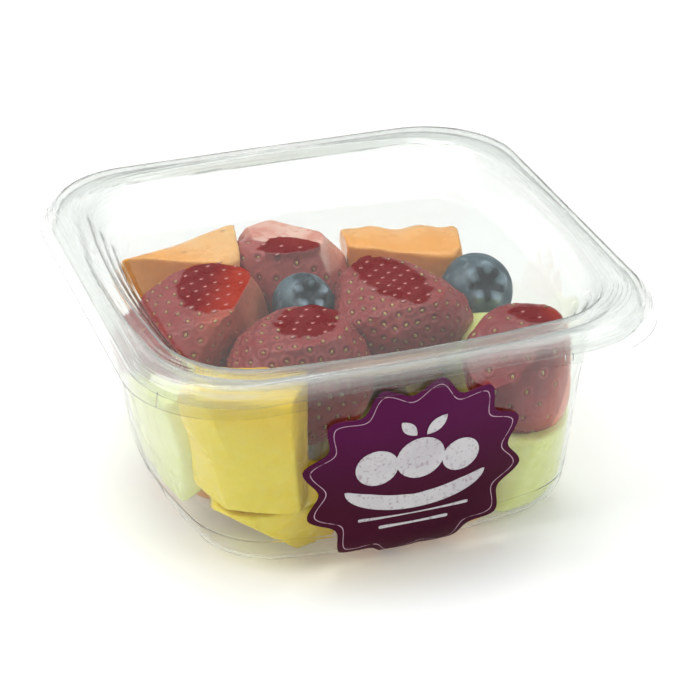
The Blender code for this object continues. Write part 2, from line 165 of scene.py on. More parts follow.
def mesh_object(
    name: str, points: np.ndarray, faces: list[tuple[int, ...]]
) -> bpy.types.Object:
    """Makes an object from points in millimetres and faces."""
    mesh = bpy.data.meshes.new(name)
    mesh.from_pydata((points * MM).tolist(), [], faces)
    mesh.update()
    obj = bpy.data.objects.new(name, mesh)
    bpy.context.scene.collection.objects.link(obj)
    return obj


def smoothstep(low: float, high: float, values: np.ndarray) -> np.ndarray:
    """Eases values from 0 at low to 1 at high."""
    share = np.clip((values - low) / (high - low), 0.0, 1.0)
    return share * share * (3 - 2 * share)


def rough_noise(points: np.ndarray, scale: float, seed: float) -> np.ndarray:
    """Smooth noise from -1 to 1 at each point, whose lumps are about scale millimetres across."""
    shift = Vector((seed, -seed * 1.7, seed * 0.6))
    return np.array([noise.noise(Vector(point) / scale + shift) for point in points])


def waves(points: np.ndarray, *layers: Triple) -> np.ndarray:
    """Sums layers of smooth noise, each given by its height, its lumps' size and its seed."""
    return sum(height * rough_noise(points, scale, seed) for height, scale, seed in layers)


def turned(angles: Triple) -> np.ndarray:
    """Gives the matrix of a turn stated as three angles in degrees."""
    return np.array(Euler([math.radians(angle) for angle in angles], "XYZ").to_matrix())


def finish_piece(
    obj: bpy.types.Object, material: bpy.types.Material, slot: str, *nodes: str, angle: float
) -> None:
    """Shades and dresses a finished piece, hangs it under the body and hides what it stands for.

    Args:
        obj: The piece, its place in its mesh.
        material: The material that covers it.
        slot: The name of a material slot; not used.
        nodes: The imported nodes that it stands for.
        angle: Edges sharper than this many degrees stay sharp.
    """
    take(obj)
    bpy.ops.object.shade_smooth_by_angle(angle=math.radians(angle))
    obj.data.materials.clear()
    obj.data.materials.append(material)
    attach(obj, BODY)
    if nodes:
        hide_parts(*nodes)
    LOG.info("%s: %d faces", obj.name, len(obj.data.polygons))


@dataclass(frozen=True)
class Spot:
    """One small bump of a scatter: its place, its long way, its outward way and its half sizes."""

    place: Vector
    along: Vector
    outward: Vector
    half: Triple


def scattered(name: str, spots: list[Spot], taper: float = 0.0) -> bpy.types.Object:
    """Models one rounded bump and lays a copy of it at every spot, joined as one piece.

    Args:
        name: The piece's name.
        spots: Where the copies lie, each with its half width, half length and half height.
        taper: How much narrower a copy gets towards the end of its long way.

    Returns:
        The joined copies.
    """
    deselect_all()
    bpy.ops.mesh.primitive_ico_sphere_add(subdivisions=1, radius=MM)
    model = bpy.context.object
    shape = points_of(model)
    shape[:, 0] *= 1 - taper * shape[:, 1]
    corners = [tuple(face.vertices) for face in model.data.polygons]
    bpy.data.objects.remove(model)
    points, faces = [], []
    for spot in spots:
        along = (spot.along - spot.outward * spot.along.dot(spot.outward)).normalized()
        rows = np.array([along.cross(spot.outward), along, spot.outward])
        start = len(points)
        points += list((shape * np.array(spot.half)) @ rows + np.array(spot.place))
        faces += [tuple(start + index for index in corner) for corner in corners]
    return mesh_object(name, np.array(points), faces)


# ---------------------------------------------------------------- node trees


class Graph:
    """A node tree with short ways to add nodes, set their sockets and join them."""

    def __init__(self, tree: bpy.types.NodeTree) -> None:
        """Keeps the tree that nodes are added to."""
        self.tree = tree

    def add(
        self, kind: str, inputs: dict[str | int, object] | None = None, **settings: object
    ) -> bpy.types.Node:
        """Adds a node.

        Args:
            kind: The node's type name.
            inputs: Values, or sockets to join, for its inputs by name or index.
            settings: Properties of the node itself.

        Returns:
            The new node.
        """
        node = self.tree.nodes.new(kind)
        for name, value in settings.items():
            setattr(node, name, value)
        for key, value in (inputs or {}).items():
            self.feed(node.inputs[key], value)
        return node

    def feed(self, socket: bpy.types.NodeSocket, value: object) -> None:
        """Joins another node's output to an input, or sets the input to a plain value."""
        if isinstance(value, bpy.types.NodeSocket):
            self.tree.links.new(value, socket)
        elif socket.type == "RGBA" and len(value) == 3:
            socket.default_value = (*value, 1.0)
        else:
            socket.default_value = value

    def math(self, operation: str, *values: object, clamp: bool = False) -> bpy.types.NodeSocket:
        """Adds a Math node and gives its output."""
        inputs = dict(enumerate(values))
        node = self.add("ShaderNodeMath", inputs, operation=operation, use_clamp=clamp)
        return node.outputs[0]

    def blend(self, share: object, first: object, second: object) -> bpy.types.NodeSocket:
        """Adds a colour mix of two colours by a share and gives its output."""
        node = self.add("ShaderNodeMix", data_type="RGBA")
        for key, value in ((0, share), (6, first), (7, second)):
            self.feed(node.inputs[key], value)
        return node.outputs[2]

    def ramp(self, value: object, low: float, high: float) -> bpy.types.NodeSocket:
        """Adds an eased ramp from 0 at low to 1 at high and gives its output."""
        inputs = {"Value": value, "From Min": low, "From Max": high}
        node = self.add("ShaderNodeMapRange", inputs, interpolation_type="SMOOTHSTEP")
        return node.outputs["Result"]

    def attribute(self, name: str) -> bpy.types.NodeSocket:
        """Adds a reader of a number stored on the mesh and gives its output."""
        return self.add("ShaderNodeAttribute", attribute_name=name).outputs["Fac"]

    def place(self, scale: Triple = (1.0, 1.0, 1.0), turn: float = 0.0) -> bpy.types.NodeSocket:
        """Adds object coordinates in millimetres, stretched and turned about Z, and gives them."""
        inputs = {
            "Vector": self.add("ShaderNodeTexCoord").outputs["Object"],
            "Rotation": (0.0, 0.0, turn),
            "Scale": tuple(part / MM for part in scale),
        }
        return self.add("ShaderNodeMapping", inputs).outputs["Vector"]

    def noise(self, vector: object, scale: float, detail: float = 2.0) -> bpy.types.NodeSocket:
        """Adds a noise texture and gives its number."""
        inputs = {"Vector": vector, "Scale": scale, "Detail": detail}
        return self.add("ShaderNodeTexNoise", inputs).outputs["Fac"]


def new_material(name: str) -> tuple[bpy.types.Material, Graph, bpy.types.Node]:
    """Makes a material and gives it with its graph and its Principled node."""
    material = bpy.data.materials.new(name)
    material.use_nodes = True
    graph = Graph(material.node_tree)
    return material, graph, material.node_tree.nodes["Principled BSDF"]


def set_inputs(node: bpy.types.Node, values: dict[str, object]) -> None:
    """Sets a node's inputs, by name, to plain values."""
    for name, value in values.items():
        node.inputs[name].default_value = value


def new_group(name: str, inputs: dict[str, tuple], outputs: dict[str, str]) -> tuple:
    """Makes a shader node group.

    Args:
        name: The group's name.
        inputs: For each input, its socket type and its default.
        outputs: For each output, its socket type.

    Returns:
        The group, its graph, its input node and its output node.
    """
    group = bpy.data.node_groups.new(name, "ShaderNodeTree")
    for label, (kind, default) in inputs.items():
        socket = group.interface.new_socket(label, in_out="INPUT", socket_type=kind)
        socket.default_value = default
    for label, kind in outputs.items():
        group.interface.new_socket(label, in_out="OUTPUT", socket_type=kind)
    graph = Graph(group)
    return group, graph, graph.add("NodeGroupInput"), graph.add("NodeGroupOutput")


COLOUR, NUMBER, VECTOR = "NodeSocketColor", "NodeSocketFloat", "NodeSocketVector"


@dataclass(frozen=True)
class Mottle:
    """Three mixed colours, how large their patches and flecks are, and how strong the flecks."""

    main: Rgb
    patch: Rgb
    fleck: Rgb
    patch_size: float
    fleck_size: float
    flecks: float


@dataclass(frozen=True)
class Moisture:
    """The roughness where wet and where dry, the patches' size and the strength of the bump."""

    wet: float
    dry: float
    size: float
    bump: float


class Effects:
    """The shared shader effects, each a node group built once."""

    def __init__(self) -> None:
        """Builds every group."""
        self.mottle = self._mottle()
        self.moist = self._moist()
        self.fibres = self._fibres()

    @staticmethod
    def _mottle() -> bpy.types.NodeTree:
        """Three colours mixed by large patches and small flecks."""
        group, graph, given, out = new_group(
            "mottle",
            {
                "Main": (COLOUR, (0.5, 0.5, 0.5, 1)),
                "Patch": (COLOUR, (0.4, 0.4, 0.4, 1)),
                "Fleck": (COLOUR, (0.3, 0.3, 0.3, 1)),
                "Patch Size": (NUMBER, 0.1),
                "Fleck Size": (NUMBER, 1.0),
                "Flecks": (NUMBER, 0.3),
            },
            {"Colour": COLOUR, "Patches": NUMBER},
        )
        where = graph.place()
        patches = graph.ramp(graph.noise(where, given.outputs["Patch Size"], 3.0), 0.35, 0.68)
        flecks = graph.ramp(graph.noise(where, given.outputs["Fleck Size"], 2.0), 0.52, 0.72)
        spread = graph.math("MULTIPLY", flecks, given.outputs["Flecks"])
        base = graph.blend(patches, given.outputs["Main"], given.outputs["Patch"])
        colour = graph.blend(spread, base, given.outputs["Fleck"])
        graph.feed(out.inputs["Colour"], colour)
        graph.feed(out.inputs["Patches"], patches)
        return group

    @staticmethod
    def _moist() -> bpy.types.NodeTree:
        """Roughness that wanders between wet and dry in soft patches, and a faint wet bump."""
        group, graph, given, out = new_group(
            "moist",
            {
                "Wet": (NUMBER, 0.15),
                "Dry": (NUMBER, 0.5),
                "Size": (NUMBER, 0.3),
                "Bump": (NUMBER, 0.2),
                "Height": (NUMBER, 0.0),
            },
            {"Roughness": NUMBER, "Normal": VECTOR},
        )
        where = graph.place()
        spread = graph.ramp(graph.noise(where, given.outputs["Size"], 3.0), 0.35, 0.65)
        span = graph.math("SUBTRACT", given.outputs["Dry"], given.outputs["Wet"])
        rough = graph.math("MULTIPLY_ADD", spread, span, given.outputs["Wet"])
        fine = graph.noise(where, 1.6, 3.0)
        height = graph.math("ADD", fine, given.outputs["Height"])
        bump = graph.add(
            "ShaderNodeBump",
            {"Strength": given.outputs["Bump"], "Distance": 0.0003, "Height": height},
        )
        graph.feed(out.inputs["Roughness"], rough)
        graph.feed(out.inputs["Normal"], bump.outputs["Normal"])
        return group

    @staticmethod
    def _fibres() -> bpy.types.NodeTree:
        """Fine strands that run along one way of the flesh, as a mask."""
        group, graph, given, out = new_group(
            "fibres",
            {"Vector": (VECTOR, (0.0, 0.0, 0.0)), "Density": (NUMBER, 1.0)},
            {"Strands": NUMBER},
        )
        coarse = graph.noise(given.outputs["Vector"], given.outputs["Density"], 4.0)
        strands = graph.ramp(coarse, 0.4, 0.62)
        graph.feed(out.inputs["Strands"], strands)
        return group

    @staticmethod
    def _use(
        graph: Graph, group: bpy.types.NodeTree, inputs: dict[str, object]
    ) -> bpy.types.Node:
        """Places a group in a material, with its inputs given by name, and gives the group node."""
        node = graph.add("ShaderNodeGroup", node_tree=group)
        for name, value in inputs.items():
            graph.feed(node.inputs[name], value)
        return node

    def colour(self, graph: Graph, look: Mottle) -> bpy.types.Node:
        """Places the mottle group in a material.

        Args:
            graph: The material's graph.
            look: The colours and sizes.

        Returns:
            The group node, with its outputs Colour and Patches.
        """
        return self._use(
            graph,
            self.mottle,
            {
                "Main": look.main,
                "Patch": look.patch,
                "Fleck": look.fleck,
                "Patch Size": look.patch_size,
                "Fleck Size": look.fleck_size,
                "Flecks": look.flecks,
            },
        )

    def moisten(
        self,
        graph: Graph,
        shader: bpy.types.Node,
        look: Moisture,
        height: object = 0.0,
        bumped: bool = True,
    ) -> None:
        """Gives a shader the roughness of moist patches, and their faint bump.

        Args:
            graph: The material's graph.
            shader: The material's Principled node.
            look: The roughness, the patches' size and the bump.
            height: A further height, added to the bump.
            bumped: Whether the bump is wanted.
        """
        inputs = {
            "Wet": look.wet,
            "Dry": look.dry,
            "Size": look.size,
            "Bump": look.bump,
            "Height": height,
        }
        moist = self._use(graph, self.moist, inputs)
        graph.feed(shader.inputs["Roughness"], moist.outputs["Roughness"])
        if bumped:
            graph.feed(shader.inputs["Normal"], moist.outputs["Normal"])

    def strands(self, graph: Graph, turn: float) -> bpy.types.NodeSocket:
        """Places the fibres group and gives its mask of strands, turned about Z."""
        along = graph.place((1.0, 0.22, 1.0), turn)
        node = self._use(graph, self.fibres, {"Vector": along, "Density": 0.5})
        return node.outputs["Strands"]


# ---------------------------------------------------------------- finishes


@dataclass(frozen=True)
class ClearPlastic:
    """Clear formed plastic, faintly grey-green, hazy in streaks along its drawn-out rims.

    Attributes:
        name: The material's name.
        tint: The colour that light takes as it passes.
        haze: The colour of the milky haze.
        rough: The roughness.
        ior: The index of refraction.
        milk: How strong the haze is on a rim.
        streak_milk: How much stronger the haze is in a streak.
        streak_bump: How strongly streaks and waves bend the light.
        streak_scale: How fine the streaks are round a ring and up the profile.
        wave_scale: How fine the waves of the sheet are.
    """

    name: str = "clear_plastic"
    tint: Rgb = (0.940, 0.956, 0.946)
    haze: Rgb = (0.80, 0.82, 0.805)
    rough: float = 0.03
    ior: float = 1.33
    milk: float = 0.07
    streak_milk: float = 0.12
    streak_bump: float = 0.12
    streak_scale: Triple = (0.035, 1.3, 1.0)
    wave_scale: float = 0.12

    def build(self) -> bpy.types.Material:
        """Makes the material: clear to shadow and diffuse rays, hazy on its rims to the rest."""
        material, graph, shader = new_material(self.name)
        shader.inputs["Base Color"].default_value = (*self.tint, 1.0)
        shader.inputs["Metallic"].default_value = 0.0
        shader.inputs["Transmission Weight"].default_value = 1.0
        shader.inputs["IOR"].default_value = self.ior
        shader.inputs["Roughness"].default_value = self.rough
        rim, streaks = graph.attribute("rim"), self._streaks(graph)
        waves = graph.noise(graph.place(), self.wave_scale, 2.0)
        height = graph.math("MULTIPLY_ADD", graph.math("MULTIPLY", streaks, rim), 0.9, waves)
        bend = {"Strength": self.streak_bump, "Distance": 0.0006, "Height": height}
        graph.feed(shader.inputs["Normal"], graph.add("ShaderNodeBump", bend).outputs["Normal"])
        milk = graph.add("ShaderNodeBsdfDiffuse", {"Color": self.haze})
        drawn = graph.ramp(streaks, 0.42, 0.75)
        drawn_milk = graph.math("MULTIPLY_ADD", drawn, self.streak_milk, self.milk)
        share = graph.math("MULTIPLY", rim, drawn_milk)
        hazy = graph.add(
            "ShaderNodeMixShader", {0: share, 1: shader.outputs["BSDF"], 2: milk.outputs["BSDF"]}
        )
        path = graph.add("ShaderNodeLightPath")
        rays = path.outputs["Is Shadow Ray"], path.outputs["Is Diffuse Ray"]
        clear = graph.add("ShaderNodeBsdfTransparent", {"Color": self.tint})
        mix = graph.add(
            "ShaderNodeMixShader",
            {
                0: graph.math("MAXIMUM", *rays),
                1: hazy.outputs["Shader"],
                2: clear.outputs["BSDF"],
            },
        )
        output = material.node_tree.nodes["Material Output"]
        graph.feed(output.inputs["Surface"], mix.outputs["Shader"])
        return material

    def _streaks(self, graph: Graph) -> bpy.types.NodeSocket:
        """Streaks drawn out round each ring of a shell."""
        ends = {"X": graph.attribute("around"), "Y": graph.attribute("along")}
        drawn = graph.add("ShaderNodeCombineXYZ", ends).outputs["Vector"]
        stretch = graph.add("ShaderNodeMapping", {"Vector": drawn, "Scale": self.streak_scale})
        return graph.noise(stretch.outputs["Vector"], 1.0, 4.0)


@dataclass(frozen=True)
class LidFog:
    """A thin film of breath-like fog under the lid, gone where fruit touches it."""

    name: str = "lid_fog"
    colour: Rgb = (0.86, 0.87, 0.87)
    strength: float = 0.062

    def build(self) -> bpy.types.Material:
        """Makes the material."""
        material, graph, shader = new_material(self.name)
        set_inputs(
            shader,
            {"Base Color": (*self.colour, 1.0), "Roughness": 0.9, "Specular IOR Level": 0.1},
        )
        grain = graph.noise(graph.place(), 0.35, 4.0)
        cloud = graph.math("MULTIPLY_ADD", grain, 0.5, 0.75)
        fog = graph.math("MULTIPLY", graph.attribute("fog"), cloud)
        alpha = graph.math("MULTIPLY", fog, self.strength, clamp=True)
        graph.feed(shader.inputs["Alpha"], alpha)
        return material


@dataclass(frozen=True)
class StrawberryFlesh:
    """Red skin with pits round its seeds, darker where wet against the lid, and pale where cut.

    Attributes:
        name: The material's name.
        skin: The red skin.
        flesh: The cut flesh.
        faded: The colour of pale skin.
        puffy: The colour of the raised rings round the pits.
        pit_shade: The painted shade in the pits, a dark red laid over the skin there.
        lit_skin: The colour of skin that light comes through.
        lit_flesh: The same for a cut face.
        pressed: The colour where the lid presses.
        lit_pressed: The same where light comes through.
        moisture: How moist the skin is.
    """

    name: str = "strawberry_skin"
    skin: Mottle = Mottle(
        (0.27, 0.020, 0.024), (0.17, 0.009, 0.015), (0.35, 0.040, 0.036), 0.06, 0.5, 0.5
    )
    flesh: Mottle = Mottle(
        (0.74, 0.34, 0.28), (0.86, 0.62, 0.54), (0.60, 0.14, 0.11), 0.12, 0.6, 0.6
    )
    faded: Rgb = (0.46, 0.115, 0.105)
    puffy: Rgb = (0.40, 0.085, 0.075)
    pit_shade: Rgb = (0.14, 0.014, 0.010)
    lit_skin: Rgb = (0.50, 0.075, 0.03)
    lit_flesh: Rgb = (0.76, 0.22, 0.12)
    pressed: Rgb = (0.185, 0.006, 0.009)
    lit_pressed: Rgb = (0.42, 0.026, 0.008)
    moisture: Moisture = Moisture(0.22, 0.46, 0.12, 0.25)

    def build(self, effects: Effects) -> bpy.types.Material:
        """Makes the material."""
        material, graph, shader = new_material(self.name)
        skin = effects.colour(graph, self.skin)
        pale = graph.blend(graph.attribute("pale"), skin.outputs["Colour"], self.faded)
        puffed = graph.math("MULTIPLY", graph.attribute("ring"), skin.outputs["Patches"])
        ring = graph.blend(puffed, pale, self.puffy)
        # Painted shade: the skin in each pit is darkened to a deep red, as if shaded.
        pit = graph.blend(graph.attribute("pit"), ring, self.pit_shade)
        glow = graph.attribute("glow")
        glowing = graph.blend(graph.math("MULTIPLY", glow, 0.75), pit, self.lit_skin)
        flesh = effects.colour(graph, self.flesh)
        facet = graph.blend(glow, flesh.outputs["Colour"], self.lit_flesh)
        cut = graph.blend(graph.attribute("cut"), glowing, facet)
        deep = graph.blend(graph.math("MULTIPLY", glow, 0.9), self.pressed, self.lit_pressed)
        wet = graph.blend(graph.attribute("wet"), cut, deep)
        graph.feed(shader.inputs["Base Color"], wet)
        effects.moisten(graph, shader, self.moisture)
        set_inputs(
            shader,
            {
                "Specular IOR Level": 0.22,
                "Subsurface Weight": 0.12,
                "Subsurface Radius": (1.0, 0.25, 0.15),
                "Subsurface Scale": 0.002,
            },
        )
        return material


@dataclass(frozen=True)
class SeedCoat:
    """Olive-gold seed coats, pale pink where the lid presses on them."""

    name: str = "strawberry_seed"
    coat: Mottle = Mottle(
        (0.50, 0.33, 0.11), (0.30, 0.15, 0.05), (0.62, 0.42, 0.16), 0.16, 0.7, 0.5
    )
    pressed: Rgb = (0.62, 0.24, 0.22)
    moisture: Moisture = Moisture(0.3, 0.5, 0.2, 0.1)

    def build(self, effects: Effects) -> bpy.types.Material:
        """Makes the material."""
        material, graph, shader = new_material(self.name)
        coat = effects.colour(graph, self.coat)
        colour = graph.blend(graph.attribute("pressed"), coat.outputs["Colour"], self.pressed)
        graph.feed(shader.inputs["Base Color"], colour)
        effects.moisten(graph, shader, self.moisture, bumped=False)
        return material


@dataclass(frozen=True)
class BlueberrySkin:
    """Dark blue skin under a dusty bloom, bare and dark in the crown."""

    name: str = "blueberry_skin"
    skin: Mottle = Mottle(
        (0.080, 0.125, 0.155), (0.024, 0.040, 0.058), (0.20, 0.28, 0.33), 0.16, 0.5, 0.5
    )
    dust: Rgb = (0.30, 0.40, 0.47)
    crown: Rgb = (0.006, 0.011, 0.020)
    moisture: Moisture = Moisture(0.35, 0.62, 0.25, 0.15)

    def build(self, effects: Effects) -> bpy.types.Material:
        """Makes the material."""
        material, graph, shader = new_material(self.name)
        skin = effects.colour(graph, self.skin)
        dusty = graph.blend(graph.attribute("dust"), skin.outputs["Colour"], self.dust)
        colour = graph.blend(graph.attribute("crown"), dusty, self.crown)
        graph.feed(shader.inputs["Base Color"], colour)
        effects.moisten(graph, shader, self.moisture)
        set_inputs(shader, {"Specular IOR Level": 0.3})
        return material


@dataclass(frozen=True)
class Flesh:
    """Moist cut flesh of melon or mango, deeper in colour towards one side, with fine strands.

    Attributes:
        name: The material's name.
        main: The flesh's colour.
        patch: Its colour in large soft patches.
        strand: The colour of its strands and flecks.
        deep: Its colour towards the seed side.
        strands: How strong the strands are.
        dry: Its roughness where it is driest.
        speck: The colour of the small marks on it.
    """

    name: str
    main: Rgb
    patch: Rgb
    strand: Rgb
    deep: Rgb
    strands: float = 0.3
    dry: float = 0.36
    speck: Rgb = (0.30, 0.14, 0.05)

    def build(self, effects: Effects) -> bpy.types.Material:
        """Makes the material."""
        material, graph, shader = new_material(self.name)
        mottle = Mottle(self.main, self.patch, self.strand, 0.04, 0.35, 0.12)
        colour = effects.colour(graph, mottle).outputs["Colour"]
        lines = effects.strands(graph, 0.6)
        streaked = graph.blend(graph.math("MULTIPLY", lines, self.strands), colour, self.strand)
        deepened = graph.blend(graph.attribute("deep"), streaked, self.deep)
        specked = graph.blend(graph.attribute("speck"), deepened, self.speck)
        graph.feed(shader.inputs["Base Color"], specked)
        effects.moisten(graph, shader, Moisture(0.16, self.dry, 0.09, 0.12), lines)
        set_inputs(
            shader,
            {
                "Specular IOR Level": 0.35,
                "Subsurface Weight": 0.25,
                "Subsurface Radius": (1.0, 0.8, 0.4),
                "Subsurface Scale": 0.003,
            },
        )
        return material


@dataclass(frozen=True)
class SealPaper:
    """Plum paper, redder towards its foot, with a thin pale line that follows its wavy edge.

    Attributes:
        name: The material's name.
        paper: The paper's colours at its foot.
        top: Its colour at its top.
        line: The colour of the thin line.
        line_inset: How far inside the edge the line runs.
        line_width: The line's width.
        fade: The heights between which the colour changes.
        moisture: How glossy the paper is.
    """

    name: str = "seal_paper"
    paper: Mottle = Mottle(
        (0.062, 0.0050, 0.022), (0.050, 0.0045, 0.018), (0.074, 0.007, 0.032), 0.03, 1.5, 0.25
    )
    top: Rgb = (0.098, 0.006, 0.062)
    line: Rgb = (0.62, 0.42, 0.52)
    line_inset: float = 1.75
    line_width: float = 0.16
    fade: tuple[float, float] = (16.0, 46.0)
    moisture: Moisture = Moisture(0.42, 0.55, 0.1, 0.06)

    def build(self, effects: Effects) -> bpy.types.Material:
        """Makes the material."""
        material, graph, shader = new_material(self.name)
        paper = effects.colour(graph, self.paper)
        height = graph.add("ShaderNodeSeparateXYZ", {"Vector": graph.place()}).outputs["Z"]
        plum = graph.blend(graph.ramp(height, *self.fade), paper.outputs["Colour"], self.top)
        lined = graph.blend(self._thin_line(graph), plum, self.line)
        graph.feed(shader.inputs["Base Color"], lined)
        effects.moisten(graph, shader, self.moisture)
        set_inputs(shader, {"Specular IOR Level": 0.06})
        return material

    def _thin_line(self, graph: Graph) -> bpy.types.NodeSocket:
        """The mask of the thin line, worn through in places."""
        past = graph.math("SUBTRACT", graph.attribute("inset"), self.line_inset)
        off = graph.math("ABSOLUTE", past)
        beside = graph.ramp(off, self.line_width * 0.45, self.line_width * 0.9)
        worn = graph.ramp(graph.noise(graph.place(), 0.55, 2.0), 0.25, 0.5)
        return graph.math("MULTIPLY", graph.math("SUBTRACT", 1.0, beside), worn)


@dataclass(frozen=True)
class SealInk:
    """Off-white print, worn in small flecks."""

    name: str = "seal_ink"
    ink: Mottle = Mottle((0.66, 0.64, 0.66), (0.58, 0.55, 0.58), (0.26, 0.14, 0.22), 0.1, 1.1, 0.5)

    def build(self, effects: Effects) -> bpy.types.Material:
        """Makes the material."""
        material, graph, shader = new_material(self.name)
        ink = effects.colour(graph, self.ink)
        graph.feed(shader.inputs["Base Color"], ink.outputs["Colour"])
        set_inputs(shader, {"Roughness": 0.4})
        return material


# ---------------------------------------------------------------- the tub, the lid and their marks


@dataclass(frozen=True)
class Ring:
    """One level ring of a shell: a rounded square whose sides are bowed out into wide arcs.

    half and radius are half the width and the corner radius without the bow. The bow widens the
    sides only: the corners reach as far out as without it.
    """

    half: float
    radius: float
    bow: float
    z: float

    def arcs(self) -> tuple[float, float, float, float, float]:
        """Gives the half width, the corner arc's radius and middle, the side arc's radius, and
        the angle where the two arcs meet."""
        width = self.half + self.bow
        reach = math.sqrt(2) * (self.half - self.radius) + self.radius
        meet = 2 * self.bow / (self.half - self.radius)
        narrowing = math.sqrt(2) / (1 + math.tan(meet / 2))
        corner = (narrowing * width - reach) / (narrowing - 1)
        middle = (width - corner) / (1 + math.tan(meet / 2))
        side = corner + middle / math.sin(meet) if meet else 0.0
        return width, corner, middle, side, meet

    def facing(self, azimuth: float) -> tuple[float, float, float]:
        """The point whose outward way is at this azimuth, in degrees."""
        width, corner, middle, side, meet = self.arcs()
        quarter = round(azimuth / 90)
        angle = math.radians(azimuth - 90 * quarter)
        if abs(angle) <= meet:
            out, along = width - side * (1 - math.cos(angle)), side * math.sin(angle)
        else:
            out = middle + corner * math.cos(angle)
            along = math.copysign(middle, angle) + corner * math.sin(angle)
        turn = math.pi / 2 * quarter
        x = out * math.cos(turn) - along * math.sin(turn)
        y = out * math.sin(turn) + along * math.cos(turn)
        return x, y, self.z

    def at(self, across: float) -> tuple[Vector, float]:
        """The place on the front side at a distance from its middle, and the angle it faces."""
        width, corner, middle, side, meet = self.arcs()
        distance = abs(across)
        if distance <= side * meet:
            angle = distance / side
            x, y = side * math.sin(angle), width - side + side * math.cos(angle)
        else:
            angle = meet + (distance - side * meet) / corner
            x, y = middle + corner * math.sin(angle), middle + corner * math.cos(angle)
        return Vector((math.copysign(x, across), -y, self.z)), math.copysign(angle, across)

    def blend(self, other: "Ring", share: float) -> "Ring":
        """The ring that lies a share of the way to another."""
        pairs = zip(astuple(self), astuple(other))
        return Ring(*[first + share * (second - first) for first, second in pairs])

    def apart(self, other: "Ring") -> float:
        """The distance to another ring, measured up a side."""
        return math.hypot(other.half - self.half, other.z - self.z)


def rounded(profile: list[Ring], fillet: float, steps: int = 3) -> list[Ring]:
    """Rounds every bend of a profile.

    Args:
        profile: The rings from one end of the profile to the other.
        fillet: How far from a bend its rounding starts.
        steps: The number of rings that round one bend.

    Returns:
        The rings of the rounded profile.
    """
    rings = [profile[0]]
    for before, ring, after in zip(profile, profile[1:], profile[2:]):
        back = min(fillet, 0.45 * ring.apart(before)) / ring.apart(before)
        ahead = min(fillet, 0.45 * ring.apart(after)) / ring.apart(after)
        start, end = ring.blend(before, back), ring.blend(after, ahead)
        for step in range(steps):
            share = step / (steps - 1)
            rings.append(start.blend(ring, share).blend(ring.blend(end, share), share))
    rings.append(profile[-1])
    return rings


@dataclass
class Shell:
    """A thin clear shell drawn up ring by ring from a flat middle.

    Attributes:
        name: The piece's name.
        node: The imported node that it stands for.
        profile: The rings of its outer face, from its middle to its last edge.
        inward: 1 where the plastic lies on the left of the way out, -1 where it lies on the right.
        rim_from: The heights between which the hazy rim starts.
        rim_past: The half width that the hazy rim lies outside.
        fillet: How far from a bend the rounding of the profile starts.
        turns: How many points each quarter of a ring has.
        bunching: How many degrees the points shift towards the bowed sides.
        run: The length that the streaks are drawn out over, round one ring.
    """

    name: str
    node: str
    profile: list[Ring]
    inward: int
    rim_from: tuple[float, float]
    rim_past: float = 52.0
    fillet: float = 0.7
    turns: int = 32
    bunching: float = 7.0
    run: float = 400.0

    def azimuths(self) -> list[float]:
        """The ways that the points of every ring face, closer together along the bowed sides."""
        quarter = []
        for step in range(self.turns):
            share = step / self.turns
            quarter.append(90 * share - self.bunching * math.sin(4 * math.pi * share))
        return [90 * side + turn for side in range(4) for turn in quarter]

    def build(self, material: bpy.types.Material) -> bpy.types.Object:
        """Draws the outer sheet from its rings, closes its middle and gives it its wall.

        Args:
            material: The clear plastic.

        Returns:
            The finished shell.
        """
        obj = self._sheet()
        self._close_middle(obj)
        self._settle_sheet(obj)
        apply_modifier(
            obj,
            "SOLIDIFY",
            thickness=PLASTIC * MM,
            offset=float(self.inward),
            use_even_offset=True,
        )
        face_outwards(obj)
        finish_piece(obj, material, "clear_plastic", self.node, angle=60.0)
        return obj

    def _sheet(self) -> bpy.types.Object:
        """Extrudes one ring of points for each ring of the profile and lays them in place."""
        rings = rounded(self.profile, self.fillet)
        azimuths = self.azimuths()
        count = len(azimuths)
        deselect_all()
        bpy.ops.mesh.primitive_circle_add(vertices=count, radius=MM, fill_type="NOTHING")
        obj = bpy.context.object
        obj.name = obj.data.name = self.name
        with edit_mode():
            for _ in rings[1:]:
                bpy.ops.mesh.extrude_edges_move()
        circle = points_of(obj)
        turns = np.degrees(np.arctan2(circle[:, 1], circle[:, 0])) * count / 360
        slots = np.round(turns).astype(int) % count
        row = [rings[index // count] for index in range(len(slots))]
        places = [ring.facing(azimuths[slot]) for ring, slot in zip(row, slots)]
        move_points(obj, np.array(places))
        runs = np.cumsum([0.0] + [first.apart(second) for first, second in zip(rings, rings[1:])])
        store(obj, "along", np.repeat(runs, count))
        store(obj, "around", slots * self.run / count)
        lift, half = np.array([ring.z for ring in row]), np.array([ring.half for ring in row])
        store(obj, "rim", smoothstep(*self.rim_from, lift) * (half > self.rim_past))
        return obj

    def _close_middle(self, obj: bpy.types.Object) -> None:
        """Fills the first ring with one flat face."""
        select_points(obj, np.arange(len(obj.data.vertices)) < len(self.azimuths()))
        with edit_mode():
            bpy.ops.mesh.select_mode(type="VERT")
            bpy.ops.mesh.edge_face_add()
        face_outwards(obj)

    @staticmethod
    def _settle_sheet(obj: bpy.types.Object) -> None:
        """Gives the sheet the faint waves of formed plastic."""
        points = points_of(obj)
        height = waves(points, (0.10, 16.0, 3.1), (0.04, 6.0, 8.3))
        move_points(obj, points + normals_of(obj) * height[:, None])


def spread_middle(ring: Ring, shares: tuple[float, ...]) -> list[Ring]:
    """Smaller level rings inside a ring, from its middle outwards."""
    half, radius, bow = ring.half, ring.radius, ring.bow
    return [Ring(half * share, radius * share, bow * share, ring.z) for share in shares]


